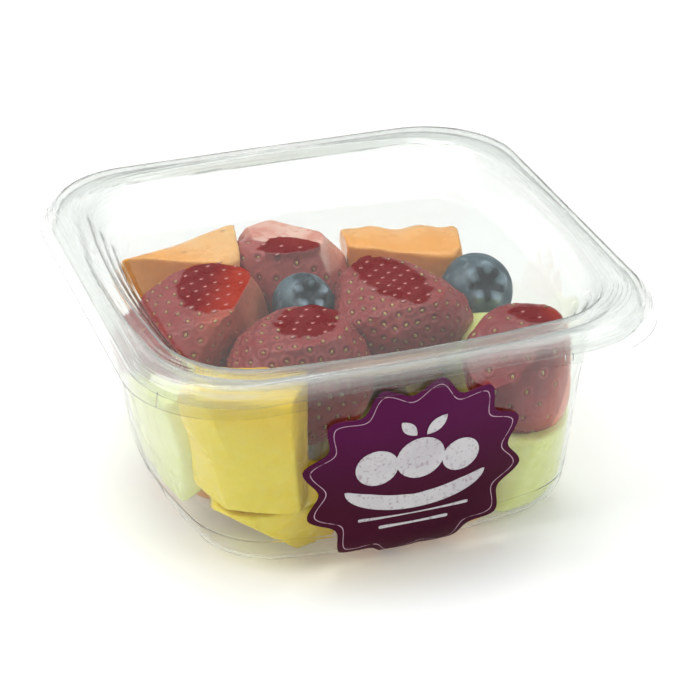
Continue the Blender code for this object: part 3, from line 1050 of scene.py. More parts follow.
@dataclass
class TubWall:
    """The tub's outer face: a bowed wall over a rounded heel, under a rolled rim.

    A half is half the width of a ring, a corner or radius its corner's, a bow how far its sides
    bulge, and a depth is measured down from the flange of the lid.

    Attributes:
        draft: How far the wall leans outwards, in degrees.
        heel: The radius that the wall turns into the base with.
        heel_steps: How many steps that turn has.
        crease: How far out and up from the heel's upper end each ring of the crease lies.
    """

    top_depth: float = 7.0
    top_half: float = 52.4
    top_radius: float = 26.5
    top_bow: float = 4.8
    draft: float = 7.0
    heel: float = 10.3
    heel_corner: float = 20.0
    heel_bow: float = 3.2
    base_corner: float = 15.0
    base_bow: float = 2.2
    heel_steps: int = 9
    flange_half: float = 60.0
    mouth_bow: float = 1.96
    crease: tuple[tuple[float, float], ...] = ((-0.02, 0.5), (0.13, 0.9), (0.19, 1.5))

    def wall_rings(self) -> list[Ring]:
        """The rings from the base round the heel to the top of the wall."""
        top = Ring(self.top_half, self.top_radius, self.top_bow, HEIGHT - self.top_depth)
        draft = math.radians(self.draft)
        heel_z = self.heel * (1 - math.sin(draft))
        heel_half = self.top_half - (top.z - heel_z) * math.tan(draft)
        rings = [top]
        for step in range(self.heel_steps + 1):
            share = step / self.heel_steps
            angle = draft + share * (math.pi / 2 - draft)
            rings.append(
                Ring(
                    heel_half - self.heel * (math.cos(draft) - math.cos(angle)),
                    self.heel_corner + share * (self.base_corner - self.heel_corner),
                    self.heel_bow + share * (self.base_bow - self.heel_bow),
                    self.heel * (1 - math.sin(angle)),
                )
            )
        return rings[::-1]

    def profile(self) -> list[Ring]:
        """The whole outer face, from the middle of the base to the lip's edge."""
        walls = self.wall_rings()
        base = Ring(walls[0].half, walls[0].radius, walls[0].bow, walls[0].z + 0.1)
        rim = [
            Ring(self.top_half + 3.7, 25.0, self.mouth_bow, HEIGHT - 2.2),
            Ring(self.top_half + 4.5, 24.6, self.mouth_bow, HEIGHT - 1.5),
            Ring(self.flange_half - 1.3, 23.4, 0.3, HEIGHT - 1.6),
            Ring(self.flange_half - 0.5, 23.8, 0.0, HEIGHT - 2.4),
            Ring(self.flange_half + 0.5, 24.4, 0.0, HEIGHT - 5.4),
        ]
        bend = walls[self.heel_steps]
        crease = [
            Ring(bend.half + out, bend.radius, bend.bow, bend.z + up)
            for out, up in self.crease
        ]
        walls[self.heel_steps + 1 : self.heel_steps + 1] = crease
        return spread_middle(base, (0.1, 0.5, 0.9)) + walls + rim

    def keep_inside(self, points: np.ndarray, gap: float) -> np.ndarray:
        """Brings points that stand past the wall's inner face back to a gap inside it.

        Args:
            points: Places in millimetres, one row each.
            gap: The gap kept between them and the plastic.

        Returns:
            The points, moved level where needed.
        """
        rings = self.wall_rings()
        turns = np.arange(0.0, 360.0, 5.0)
        outward = np.array([np.cos(np.radians(turns)), np.sin(np.radians(turns))])
        reach = np.array([[ring.facing(turn)[:2] for turn in turns] for ring in rings])
        reach = np.einsum("rtk,kt->rt", reach, outward) - PLASTIC - gap
        heights = [ring.z for ring in rings]
        limits = np.array([np.interp(points[:, 2], heights, column) for column in reach.T])
        over = outward.T @ points[:, :2].T - limits
        worst = over.argmax(axis=0)
        past = np.maximum(over[worst, np.arange(len(points))], 0.0)
        inside = points.copy()
        inside[:, :2] -= outward.T[worst] * past[:, None]
        return inside

    def down(self, distance: float) -> tuple[Ring, float]:
        """The ring a distance down the outer face from the wall's top, and its slope there."""
        rings = self.wall_rings()[::-1]
        for high, low in zip(rings, rings[1:]):
            length = high.apart(low)
            if distance <= length or low is rings[-1]:
                slope = math.atan2(high.half - low.half, high.z - low.z)
                return high.blend(low, distance / length), slope
            distance -= length
        return rings[-1], 0.0

    def on_wall(self, across: float, down: float, lift: float) -> Vector:
        """A point on the front wall, wrapped round its corners, lifted off it by a distance."""
        ring, slope = self.down(down)
        point, angle = ring.at(across)
        outwards = Vector((math.sin(angle), -math.cos(angle), -math.tan(slope))).normalized()
        return point + outwards * lift


@dataclass
class LidForm:
    """The lid's upper face: a sunk floor, two steps, a flat flange and a flared skirt.

    Each depth is measured down from the flange.
    """

    floor_depth: float = 9.0
    ledge_depth: float = 6.0
    shelf_depth: float = 3.2
    crease_depth: float = 2.6
    skirt_depth: float = 6.2
    mouth_half: float = 53.8
    mouth_bow: float = 1.96
    flange_half: float = 60.0

    def floor(self) -> Ring:
        """The edge of the sunk floor."""
        return Ring(46.3, 20.0, 1.5, HEIGHT - self.floor_depth)

    def mouth(self) -> Ring:
        """The flange's inner edge."""
        return Ring(self.mouth_half, 22.4, self.mouth_bow, HEIGHT)

    def flange_edge(self) -> Ring:
        """The flange's outer edge."""
        return Ring(self.flange_half - 0.4, 22.8, 0.2, HEIGHT)

    def skirt_top(self) -> Ring:
        """The skirt just under its crease."""
        return Ring(SKIRT_HALF - 1.2, 24.8, 0.0, HEIGHT - self.crease_depth - 0.5)

    def skirt_edge(self) -> Ring:
        """The skirt's lower edge."""
        return Ring(SKIRT_HALF - 0.1, 25.6, 0.0, HEIGHT - self.skirt_depth)

    def profile(self) -> list[Ring]:
        """The whole upper face, from the middle of the floor to the skirt's edge."""
        floor_z = HEIGHT - self.floor_depth
        ledge_z = HEIGHT - self.ledge_depth
        shelf_z = HEIGHT - self.shelf_depth
        crease_z = HEIGHT - self.crease_depth
        steps = [
            self.floor(),
            Ring(47.1, 20.6, 1.5, floor_z + 0.5),
            Ring(48.5, 21.2, 1.6, ledge_z - 0.3),
            Ring(49.3, 21.4, 1.7, ledge_z),
            Ring(50.7, 21.8, 1.8, shelf_z - 0.3),
            Ring(51.5, 22.0, 1.9, shelf_z),
            Ring(53.0, 22.3, self.mouth_bow, HEIGHT - 0.5),
            self.mouth(),
            self.flange_edge(),
            Ring(self.flange_half + 0.3, 23.2, 0.0, HEIGHT - 0.5),
            Ring(SKIRT_HALF - 1.5, 24.6, 0.0, crease_z + 0.3),
            self.skirt_top(),
            self.skirt_edge(),
        ]
        return spread_middle(self.floor(), (0.1, 0.3, 0.5, 0.7, 0.85)) + steps


@dataclass
class RimMarks:
    """Rows of small grip bumps on the flange's front corners, and upright ribs on the skirt.

    Attributes:
        lid: The lid that they stand on.
        corners: The azimuths between which each patch of bumps lies, in degrees.
        rows: How far across the flange each row of bumps lies, from 0 to 1.
        pitch: The degrees between two bumps of a row.
        bump: A bump's half width, half length and half height.
        tall: The azimuth and the length of the rib at the front left corner.
        short: The azimuth and the length of each of the pair at the right of the front.
        short_at: Where each of that pair stands along X.
    """

    lid: LidForm
    corners: tuple[tuple[float, float], ...] = ((205.0, 239.0), (302.0, 337.0))
    rows: tuple[float, ...] = (0.18, 0.32, 0.46, 0.60, 0.74)
    pitch: float = 2.7
    bump: Triple = (0.18, 0.40, 0.20)
    tall: tuple[float, float] = (212.0, 4.2)
    short: tuple[float, float] = (270.0, 2.2)
    short_at: tuple[float, ...] = (31.7, 33.4)

    def build(self, plastic: bpy.types.Material) -> None:
        """Makes the bumps and the ribs.

        Args:
            plastic: The clear plastic.
        """
        inner, outer = self.lid.mouth(), self.lid.flange_edge()
        up = Vector((0.0, 0.0, 1.0))
        bumps = []
        for low, high in self.corners:
            for index, share in enumerate(self.rows):
                ring = inner.blend(outer, share)
                for turn in np.arange(low + self.pitch / 2 * (index % 2), high, self.pitch):
                    way = math.radians(turn)
                    along = Vector((-math.sin(way), math.cos(way), 0.0))
                    bumps.append(Spot(Vector(ring.facing(turn)), along, up, self.bump))
        self._finish(scattered("flange_grips", bumps), plastic)
        self._finish(scattered("skirt_ribs", self._rib_spots()), plastic)

    def _rib_spots(self) -> list[Spot]:
        """One tall rib at the front left corner and a short pair at the right of the front."""
        high, low = self.lid.skirt_top(), self.lid.skirt_edge()
        (corner, tall), (front, short) = self.tall, self.short
        middle = high.blend(low, 0.5)
        slope = (Vector(low.facing(corner)) - Vector(high.facing(corner))).normalized()
        way = math.radians(corner)
        out = Vector((math.cos(way), math.sin(way), 0.2))
        spots = [Spot(Vector(middle.facing(corner)), slope, out, (0.22, tall / 2, 0.25))]
        down = (Vector(low.facing(front)) - Vector(high.facing(front))).normalized()
        for x in self.short_at:
            place = Vector((x, middle.facing(front)[1], middle.z))
            spots.append(Spot(place, down, Vector((0.0, -1.0, 0.2)), (0.20, short / 2, 0.25)))
        return spots

    @staticmethod
    def _finish(obj: bpy.types.Object, plastic: bpy.types.Material) -> None:
        """Gives the marks the haze of a drawn rim, and their finish."""
        store(obj, "rim", np.ones(len(obj.data.vertices)))
        finish_piece(obj, plastic, "clear_plastic", angle=60.0)


# ---------------------------------------------------------------- the seal


@dataclass
class Seal:
    """The star seal: a plum disc with a wavy edge, wrapped over the front wall, and its print.

    Attributes:
        wall: The wall that it lies on.
        points: How many points its edge has.
        radius: How far out its points reach.
        wave: How far in its valleys come.
        across: How far right of the wall's middle its own middle lies.
        down: How far down the wall its middle lies.
        turn: Its turn in degrees.
        thickness: The thickness of the paper.
        lift: How far it stands off the wall.
        steps: How many points each wave of its edge has.
        rings: How many rings of faces it has.
        ink_lift: How far the print stands off the paper.
        ink_thickness: The thickness of the print.
    """

    wall: TubWall
    points: int = 12
    radius: float = 27.1
    wave: float = 4.0
    across: float = 0.4
    down: float = 27.0
    turn: float = 81.4
    thickness: float = 0.2
    lift: float = 0.5
    steps: int = 16
    rings: int = 30
    ink_lift: float = 0.12
    ink_thickness: float = 0.06

    def edge(self, angle: float) -> float:
        """The outline's radius at an angle, its valleys rounder than its points."""
        wave = (1 - math.cos(self.points * angle)) / 2
        return self.radius - self.wave * wave**0.85

    def place(self, x: float, y: float, lift: float) -> Vector:
        """A point of the seal's own plane, x to the right and y up, laid on the wall."""
        return self.wall.on_wall(self.across + x, self.down - y, lift)

    def build(self, paper: bpy.types.Material, ink: bpy.types.Material) -> None:
        """Makes the paper and its print.

        Args:
            paper: The material of the disc.
            ink: The material of the print.
        """
        count = self.points * self.steps
        turn = math.radians(self.turn)
        points, insets = [self.place(0.0, 0.0, self.lift + self.thickness)], [self.edge(0.0)]
        for ring in range(1, self.rings + 1):
            share = (ring / self.rings) ** 0.8
            for step in range(count):
                angle = 2 * math.pi * step / count
                reach = share * self.edge(angle)
                x, y = reach * math.cos(angle + turn), reach * math.sin(angle + turn)
                points.append(self.place(x, y, self.lift + self.thickness))
                insets.append(self.edge(angle) - reach)
        faces = [(0, 1 + step, 1 + (step + 1) % count) for step in range(count)]
        for ring in range(self.rings - 1):
            inner, outer = 1 + ring * count, 1 + (ring + 1) * count
            for step in range(count):
                after = (step + 1) % count
                faces.append((inner + step, outer + step, outer + after, inner + after))
        obj = mesh_object("seal_paper", np.array(points), faces)
        store(obj, "inset", np.array(insets))
        apply_modifier(obj, "SOLIDIFY", thickness=self.thickness * MM, offset=-1.0)
        finish_piece(obj, paper, "seal_paper", "seal", angle=50.0)
        self._print(ink)

    def _print(self, ink: bpy.types.Material) -> None:
        """Lays the off-white motif, a bowl of round fruit under two leaves, on the paper."""
        shapes = [self._bowl(), self._band(-11.4, 13.0, 0.9), self._band(-14.2, 8.0, 0.9)]
        for x, y, radius in ((-9.8, 3.6, 5.0), (0.4, 4.8, 5.8), (10.4, 3.4, 4.6)):
            shapes.append(self._disc(x, y, radius))
        shapes.append(self._leaf(1.4, 11.4, 6.6, 0.8))
        shapes.append(self._leaf(-1.0, 11.6, 5.8, 2.3))
        points, faces = [], []
        for outline in shapes:
            start = len(points)
            middle = np.mean(outline, axis=0)
            arms = np.array(outline) - middle
            flat = [middle] + [middle + arm * share for share in (0.35, 0.7, 1.0) for arm in arms]
            size = len(outline)
            lift = self.lift + self.thickness + self.ink_lift
            points += [self.place(x, y, lift) for x, y in flat]
            for step in range(size):
                after = (step + 1) % size
                faces.append((start, start + 1 + step, start + 1 + after))
                for ring in (0, 1):
                    inner, outer = start + 1 + ring * size, start + 1 + (ring + 1) * size
                    faces.append((inner + step, outer + step, outer + after, inner + after))
        obj = mesh_object("seal_print", np.array(points), faces)
        apply_modifier(obj, "SOLIDIFY", thickness=self.ink_thickness * MM, offset=-1.0)
        finish_piece(obj, ink, "seal_paper", angle=50.0)

    @staticmethod
    def _disc(x: float, y: float, radius: float) -> list[tuple[float, float]]:
        """A round spot's outline."""
        turns = [2 * math.pi * step / 28 for step in range(28)]
        return [(x + radius * math.cos(turn), y + radius * math.sin(turn)) for turn in turns]

    @staticmethod
    def _bowl() -> list[tuple[float, float]]:
        """The bowl's outline: a half disc with a flat rim."""
        turns = [math.pi + math.pi * step / 30 for step in range(31)]
        return [(17.0 * math.cos(turn), -2.6 + 7.2 * math.sin(turn)) for turn in turns]

    @staticmethod
    def _band(y: float, half: float, thick: float) -> list[tuple[float, float]]:
        """A short bar with round ends."""
        turns = [-math.pi / 2 + math.pi * step / 8 for step in range(9)]
        radius = thick / 2
        right = [(half + radius * math.cos(turn), y + radius * math.sin(turn)) for turn in turns]
        return right + [(-across, 2 * y - up) for across, up in right]

    @staticmethod
    def _leaf(x: float, y: float, length: float, turn: float) -> list[tuple[float, float]]:
        """A pointed leaf's outline that starts at a place and runs out at an angle."""
        outline = []
        cos, sin = math.cos(turn), math.sin(turn)
        for step in range(24):
            share = step / 24 * 2
            along = share if share <= 1 else 2 - share
            side = 1 if share <= 1 else -1
            swell = math.sin(math.pi * along) ** 0.8 if 0 < along < 1 else 0.0
            out, wide = along * length, side * 0.24 * length * swell
            outline.append((x + out * cos - wide * sin, y + out * sin + wide * cos))
        return outline


# ---------------------------------------------------------------- the fruit


@dataclass(frozen=True)
class Patch:
    """Where a berry is pressed flat against the lid: an oval with a wandering edge.

    Attributes:
        centre: Its middle.
        half: Half its length and half its width.
        turn: The way its length runs, in degrees from +X.
    """

    centre: tuple[float, float]
    half: tuple[float, float]
    turn: float

    def outside(self, points: np.ndarray) -> np.ndarray:
        """How far each point is outside the patch, in millimetres, below 0 inside it."""
        turn = math.radians(self.turn)
        away = points[:, :2] - np.array(self.centre)
        along = away @ np.array([math.cos(turn), math.sin(turn)]) / self.half[0]
        beside = away @ np.array([-math.sin(turn), math.cos(turn)]) / self.half[1]
        size = math.sqrt(self.half[0] * self.half[1])
        return (np.hypot(along, beside) - 1) * size


@dataclass(frozen=True)
class Pull:
    """A soft pull on a surface: its centre, how far round it reaches, and its shift."""

    centre: Triple
    reach: float
    shift: Triple

    def apply(self, points: np.ndarray) -> np.ndarray:
        """Moves the points near the centre, the nearest ones most."""
        away = np.linalg.norm(points - np.array(self.centre), axis=1)
        return points + np.exp(-((away / self.reach) ** 2))[:, None] * np.array(self.shift)


@dataclass(frozen=True)
class Knife:
    """A knife cut: a point of its plane, and the way to the side that is taken off."""

    point: Triple
    way: Triple

    def inside(self, points: np.ndarray) -> np.ndarray:
        """How far each point lies on the side that stays."""
        way = np.array(self.way)
        return (np.array(self.point) - points) @ (way / np.linalg.norm(way))


@dataclass
class FruitPiece:
    """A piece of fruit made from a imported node: its mesh merged, cut, made fine and softened.

    Attributes:
        node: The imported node's name.
        fine: The size of the fine mesh's faces.
        soften: How many times the fine mesh is smoothed.
        knives: Cuts that give it its small facets.
        pulls: Soft pulls that make its outline uneven.
    """

    node: str
    fine: float = 0.8
    soften: int = 4
    knives: tuple[Knife, ...] = ()
    pulls: tuple[Pull, ...] = ()

    def fine_copy(self, wall: TubWall) -> bpy.types.Object:
        """Copies the node's mesh, merges, cuts and refines it, and pulls it into its outline.

        Args:
            wall: The wall that it stays inside.

        Returns:
            The fine copy.
        """
        obj = bpy.data.objects.new(self.node + "_look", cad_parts[self.node].data.copy())
        bpy.context.scene.collection.objects.link(obj)
        take(obj)
        with edit_mode():
            bpy.ops.mesh.select_all(action="SELECT")
            bpy.ops.mesh.remove_doubles(threshold=0.01 * MM)
            for knife in self.knives:
                bpy.ops.mesh.select_all(action="SELECT")
                place = tuple(part * MM for part in knife.point)
                bpy.ops.mesh.bisect(
                    plane_co=place, plane_no=knife.way, use_fill=True, clear_outer=True
                )
        apply_modifier(obj, "REMESH", mode="VOXEL", voxel_size=self.fine * MM)
        apply_modifier(obj, "SMOOTH", factor=0.5, iterations=self.soften)
        points = points_of(obj)
        for pull in self.pulls:
            points = pull.apply(points)
        move_points(obj, wall.keep_inside(points, WALL_GAP))
        return obj


@dataclass(frozen=True)
class SeedRelief:
    """The skin's relief round each seed: a pit in the middle of a puffy ring.

    Attributes:
        pit: The pit's radius.
        sink: The pit's depth.
        ring: The ring's radius.
        wide: Half the ring's width.
        puff: The ring's height.
        lumps: The height of the skin's own soft lumps.
    """

    pit: float = 0.62
    sink: float = 0.42
    ring: float = 1.2
    wide: float = 0.36
    puff: float = 0.20
    lumps: float = 0.30


@dataclass
class Strawberry(FruitPiece):
    """A strawberry with its seeds.

    Attributes:
        centre: The berry's own middle before it was cut.
        size: Its width, depth and length.
        turn: Its turn in degrees, hulled end up.
        cut: The knife's plane, or None for a whole berry.
        patch: Where the lid flattens it.
        seeds: How many seeds it has.
        rise: How far its top is lifted to meet the lid.
        round_off: How quickly its top falls away outside the patch, as a radius.
        sliced: A place on its top and a level way, beyond which its top is a pale knife slice.
        slice_from: How far along +X the slice starts.
        pale: How pale its skin is.
        glow: How brightly light comes through the flesh along its knife plane.
        relief: The relief round its seeds.
    """

    fine: float = 0.42
    soften: int = 6
    centre: Triple = (0.0, 0.0, 0.0)
    size: Triple = (30.0, 30.0, 40.0)
    turn: Triple = (0.0, 0.0, 0.0)
    cut: Knife | None = None
    patch: Patch = Patch((0.0, 0.0), (5.0, 5.0), 0.0)
    seeds: int = 330
    rise: float = 1.6
    round_off: float = 20.0
    sliced: tuple[tuple[float, float], tuple[float, float]] | None = None
    slice_from: float = -FAR
    pale: float = 0.0
    glow: float = 0.0
    relief: SeedRelief = SeedRelief()

    def build(
        self, skin: bpy.types.Material, seed_coat: bpy.types.Material, ceiling: float, wall: TubWall
    ) -> bpy.types.Object:
        """Makes the berry and its seeds.

        Args:
            skin: The material of the berry.
            seed_coat: The material of its seeds.
            ceiling: The height of the lid's underside, which the berry is pressed against.
            wall: The wall that it stays inside.

        Returns:
            The berry.
        """
        obj = self.fine_copy(wall)
        self._press(obj, ceiling)
        apply_modifier(obj, "SMOOTH", factor=0.5, iterations=3)
        places = self._seed_places(obj)
        self._relief(obj, places, ceiling, wall)
        finish_piece(obj, skin, "strawberry", self.node, angle=80.0)
        self._seed_mesh(places, seed_coat, ceiling)
        return obj

    def _press(self, obj: bpy.types.Object, ceiling: float) -> None:
        """Lifts the top to the lid at the patch and rounds it off outside."""
        points = points_of(obj)
        outside = self.patch.outside(points)
        upper = smoothstep(ceiling - 14, ceiling - 5, points[:, 2])
        lift = self.rise * (1 - smoothstep(-1.0, 9.0, outside)) * upper
        away = np.maximum(outside, 0.0)
        fall = away**2 / (2 * self.round_off) + 0.05 * away
        under = fall * (1 - self._slice(points)) + 0.04 * away
        points[:, 2] = np.minimum(points[:, 2] + lift, ceiling + 0.15 - under)
        move_points(obj, points)

    def _slice(self, points: np.ndarray) -> np.ndarray:
        """How surely each point lies on the slice across the berry's top."""
        if self.sliced is None:
            return np.zeros(len(points))
        place, way = np.array(self.sliced[0]), np.array(self.sliced[1])
        wander = 0.5 * rough_noise(points, 3.0, 1.0)
        beyond = (points[:, :2] - place) @ way + wander
        past_end = points[:, 0] - self.slice_from + 2 * wander
        on_top = smoothstep(42.0, 44.0, points[:, 2])
        return smoothstep(-0.6, 0.6, np.minimum(beyond, past_end)) * on_top

    def _cut_distance(self, points: np.ndarray) -> np.ndarray:
        """The distance of each point inside the knife plane."""
        return np.full(len(points), FAR) if self.cut is None else self.cut.inside(points)

    def _seed_places(self, obj: bpy.types.Object) -> list[tuple[Vector, Vector, Vector]]:
        """Finds each seed's place, outward normal and way to the tip, in even turns."""
        tree = BVHTree.FromObject(obj, bpy.context.evaluated_depsgraph_get())
        turn = Euler([math.radians(angle) for angle in self.turn], "XYZ").to_matrix()
        origin = Vector(self.centre)
        tip_way = turn @ Vector((0.0, 0.0, -1.0))
        golden = math.pi * (3 - math.sqrt(5))
        places = []
        for index in range(self.seeds):
            up = -1 + 2 * (index + 0.5) / self.seeds
            level = math.sqrt(1 - up * up)
            angle = index * golden
            way = Vector((level * math.cos(angle), level * math.sin(angle), up))
            way = turn @ Vector([part * size for part, size in zip(way, self.size)])
            hit, normal, _, _ = tree.ray_cast(origin * MM, way.normalized())
            if hit is None:
                continue
            place = hit / MM
            spot = np.array([place])
            if self._cut_distance(spot)[0] < 1.0 or self._slice(spot)[0] > 0.3:
                continue
            places.append((place, normal, tip_way))
        return places

    def _relief(self, obj: bpy.types.Object, places: list, ceiling: float, wall: TubWall) -> None:
        """Sinks a pit and raises a puffy ring round each seed, and stores where they are."""
        points, normals = points_of(obj), normals_of(obj)
        tree = KDTree(len(places))
        for index, (place, _, _) in enumerate(places):
            tree.insert(place, index)
        tree.balance()
        near = np.array([tree.find(Vector(point))[2] for point in points])
        skin = smoothstep(0.3, 1.6, self._cut_distance(points)) * (1 - self._slice(points))
        relief = self.relief
        pit = np.exp(-((near / relief.pit) ** 2)) * skin
        ring = np.exp(-(((near - relief.ring) / relief.wide) ** 2)) * skin
        lumps = relief.lumps * rough_noise(points, 9.0, self.size[2]) * skin
        height = -relief.sink * pit + relief.puff * ring + lumps
        wander = waves(points, (1.1, 3.6, 5.0), (0.6, 1.5, 9.0))
        outside = self.patch.outside(points) + wander + 1.0 * np.exp(-((near / 1.1) ** 2)) - 0.4
        up_side = smoothstep(0.2, 0.6, normals[:, 2])
        near_lid = smoothstep(ceiling - 2, ceiling - 1, points[:, 2])
        wet = (1 - smoothstep(-0.15, 0.15, outside)) * up_side * near_lid
        points = points + normals * (height * (1 - wet))[:, None]
        flat = ceiling + 0.02 - 0.30 * smoothstep(0.0, 0.3, outside) - 0.12 * pit
        points[:, 2] = wet * flat + (1 - wet) * np.minimum(points[:, 2], np.minimum(flat, ceiling))
        move_points(obj, wall.keep_inside(points, WALL_GAP / 3))
        # The pit mask also places the painted shade in the pits' colour.
        store(obj, "pit", pit)
        store(obj, "ring", ring)
        depth = self._cut_distance(points)
        faced = 1 - smoothstep(0.0, 0.9, depth)
        store(obj, "cut", np.maximum(faced, self._slice(points)) * (1 - wet))
        store(obj, "wet", wet * (1 - 0.5 * pit))
        blush = 0.35 * rough_noise(points, 11.0, 2.0)
        store(obj, "pale", np.clip(self.pale * (1 + blush), 0.0, 1.0) * (1 - faced))
        store(obj, "glow", self.glow * (1 - smoothstep(2.0, 11.0, depth + 3 * blush)))

    def _seed_mesh(self, places: list, seed_coat: bpy.types.Material, ceiling: float) -> None:
        """Lays a seed in every pit, its long way towards the tip, flatter where the lid presses."""
        up, across = Vector((0.0, 0.0, 1.0)), Vector((0.95, 0.3, 0.0))
        spots, pressed = [], []
        for place, normal, tip_way in places:
            under = self.patch.outside(np.array([place]))[0] < -0.2 and place.z > ceiling - 2
            pressed.append(float(under))
            if under:
                level = Vector((place.x, place.y, ceiling - 0.12))
                spots.append(Spot(level, across, up, (0.40, 0.72, 0.16)))
            else:
                middle = place - 0.22 * normal
                middle.z = min(middle.z, ceiling - 0.22)
                spots.append(Spot(middle, tip_way, normal, (0.42, 0.68, 0.30)))
        obj = scattered(self.node + "_seeds", spots, taper=0.35)
        store(obj, "pressed", np.repeat(pressed, len(obj.data.vertices) // len(spots)))
        finish_piece(obj, seed_coat, "strawberry", angle=80.0)


@dataclass
class Blueberry:
    """A blueberry with its star crown. Angles are measured from the crown's middle, in radians.

    Attributes:
        node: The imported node's name.
        centre: The berry's middle.
        size: Its width, depth and height.
        turn: Its turn in degrees, crown up.
        segments: How many points it has round it.
        rows: How many rows of faces it has from crown to foot.
        lip: The crown's lip: its angle, how much further it lies on a sepal, and its half width.
        lip_rise: The lip's height, and how much higher it is on a sepal, as shares of the radius.
        bowl: The angles between which the crown's bowl rises.
        bowl_sink: The bowl's depth, as a share of the radius.
        dimple: The angle of the dark dimple, and how much further it lies between two sepals.
        bloom: The angle of the bright bloom on the sepals, and its half width.
    """

    node: str
    centre: Triple
    size: Triple
    turn: Triple
    segments: int = 90
    rows: int = 72
    lip: Triple = (0.40, 0.12, 0.09)
    lip_rise: tuple[float, float] = (0.04, 0.10)
    bowl: tuple[float, float] = (0.12, 0.38)
    bowl_sink: float = 0.20
    dimple: tuple[float, float] = (0.27, 0.30)
    bloom: tuple[float, float] = (0.52, 0.17)

    def build(self, skin: bpy.types.Material, ceiling: float, wall: TubWall) -> bpy.types.Object:
        """Shapes a ball into the berry and its crown of five sepals round a dark dimple.

        Args:
            skin: The material of the berry.
            ceiling: The height of the lid's underside.
            wall: The wall that it stays inside.

        Returns:
            The berry.
        """
        deselect_all()
        bpy.ops.mesh.primitive_uv_sphere_add(
            segments=self.segments, ring_count=self.rows, radius=MM
        )
        obj = bpy.context.object
        obj.name = obj.data.name = self.node + "_look"
        ball = points_of(obj)
        polar = np.arccos(np.clip(ball[:, 2], -1, 1))
        star = self._star(ball)
        (lip_at, further, wide), (rise, higher) = self.lip, self.lip_rise
        lip = np.exp(-(((polar - (lip_at + further * star)) / wide) ** 2)) * (rise + higher * star)
        bowl = (1 - smoothstep(*self.bowl, polar)) * self.bowl_sink
        shape = ball * (1 + lip - bowl)[:, None] * (np.array(self.size) / 2)
        shape += 0.12 * rough_noise(shape, 7.0, self.centre[0])[:, None] * ball
        points = shape @ turned(self.turn).T + np.array(self.centre)
        points[:, 2] = np.minimum(points[:, 2], ceiling)
        move_points(obj, wall.keep_inside(points, WALL_GAP))
        near, between = self.dimple
        dimple = 1 - smoothstep(-0.06, 0.06, polar - (near + between * (1 - star) ** 2))
        pressed = 0.85 * smoothstep(ceiling - 0.75, ceiling - 0.40, points[:, 2])
        store(obj, "crown", np.maximum(dimple, pressed))
        bloom_at, spread = self.bloom
        store(obj, "dust", 0.85 * np.exp(-(((polar - bloom_at) / spread) ** 2)) * star**1.5)
        finish_piece(obj, skin, "blueberry", self.node, angle=80.0)
        return obj

    def _star(self, ball: np.ndarray) -> np.ndarray:
        """How near each point of the ball lies to one of the five sepals, from 0 to 1."""
        around = np.arctan2(ball[:, 1], ball[:, 0])
        return 0.5 + 0.5 * np.cos(5 * around + 0.5 * rough_noise(ball, 0.6, self.size[0]))


@dataclass
class CutBlock(FruitPiece):
    """A knife-cut block of melon or mango.

    Attributes:
        rough: How uneven its cut faces are.
        deep_way: The way towards the seed side, where the flesh is deeper in colour.
        deep_from: How far along that way, from 0 to 1, the deeper colour starts.
        specks: Places of small brown marks.
        speck_half: Half a mark's width and depth.
    """

    rough: float = 0.35
    deep_way: Triple = (0.0, 0.0, -1.0)
    deep_from: float = 0.6
    specks: tuple[Triple, ...] = ()
    speck_half: tuple[float, float] = (0.9, 0.45)

    def build(
        self, flesh: bpy.types.Material, slot: str, ceiling: float, wall: TubWall
    ) -> bpy.types.Object:
        """Makes the block, roughens its faces and stores where its flesh is deeper in colour.

        Args:
            flesh: The material of the block.
            slot: The name of its material slot, handed on.
            ceiling: The height of the lid's underside.
            wall: The wall that it stays inside.

        Returns:
            The block.
        """
        obj = self.fine_copy(wall)
        points, normals = points_of(obj), normals_of(obj)
        seed = len(self.node) + self.fine
        height = waves(points, (1.0, 7.0, seed), (0.4, 2.6, seed + 4))
        points = points + normals * (self.rough * 0.5 * height - 0.05)[:, None]
        points[:, 2] = np.minimum(points[:, 2], ceiling - 0.9)
        points = wall.keep_inside(points, WALL_GAP / 2)
        move_points(obj, points)
        marks = np.zeros(len(points))
        for place in self.specks:
            away = (points[:, :2] - np.array(place)[:2]) / np.array(self.speck_half)
            marks += np.exp(-(away**2).sum(axis=1))
        store(obj, "speck", 0.7 * marks)
        way = np.array(self.deep_way) / np.linalg.norm(self.deep_way)
        along = points @ way
        share = (along - along.min()) / (along.max() - along.min())
        wander = 0.12 * rough_noise(points, 8.0, seed + 9)
        store(obj, "deep", smoothstep(self.deep_from, self.deep_from + 0.5, share + wander))
        finish_piece(obj, flesh, slot, self.node, angle=80.0)
        return obj


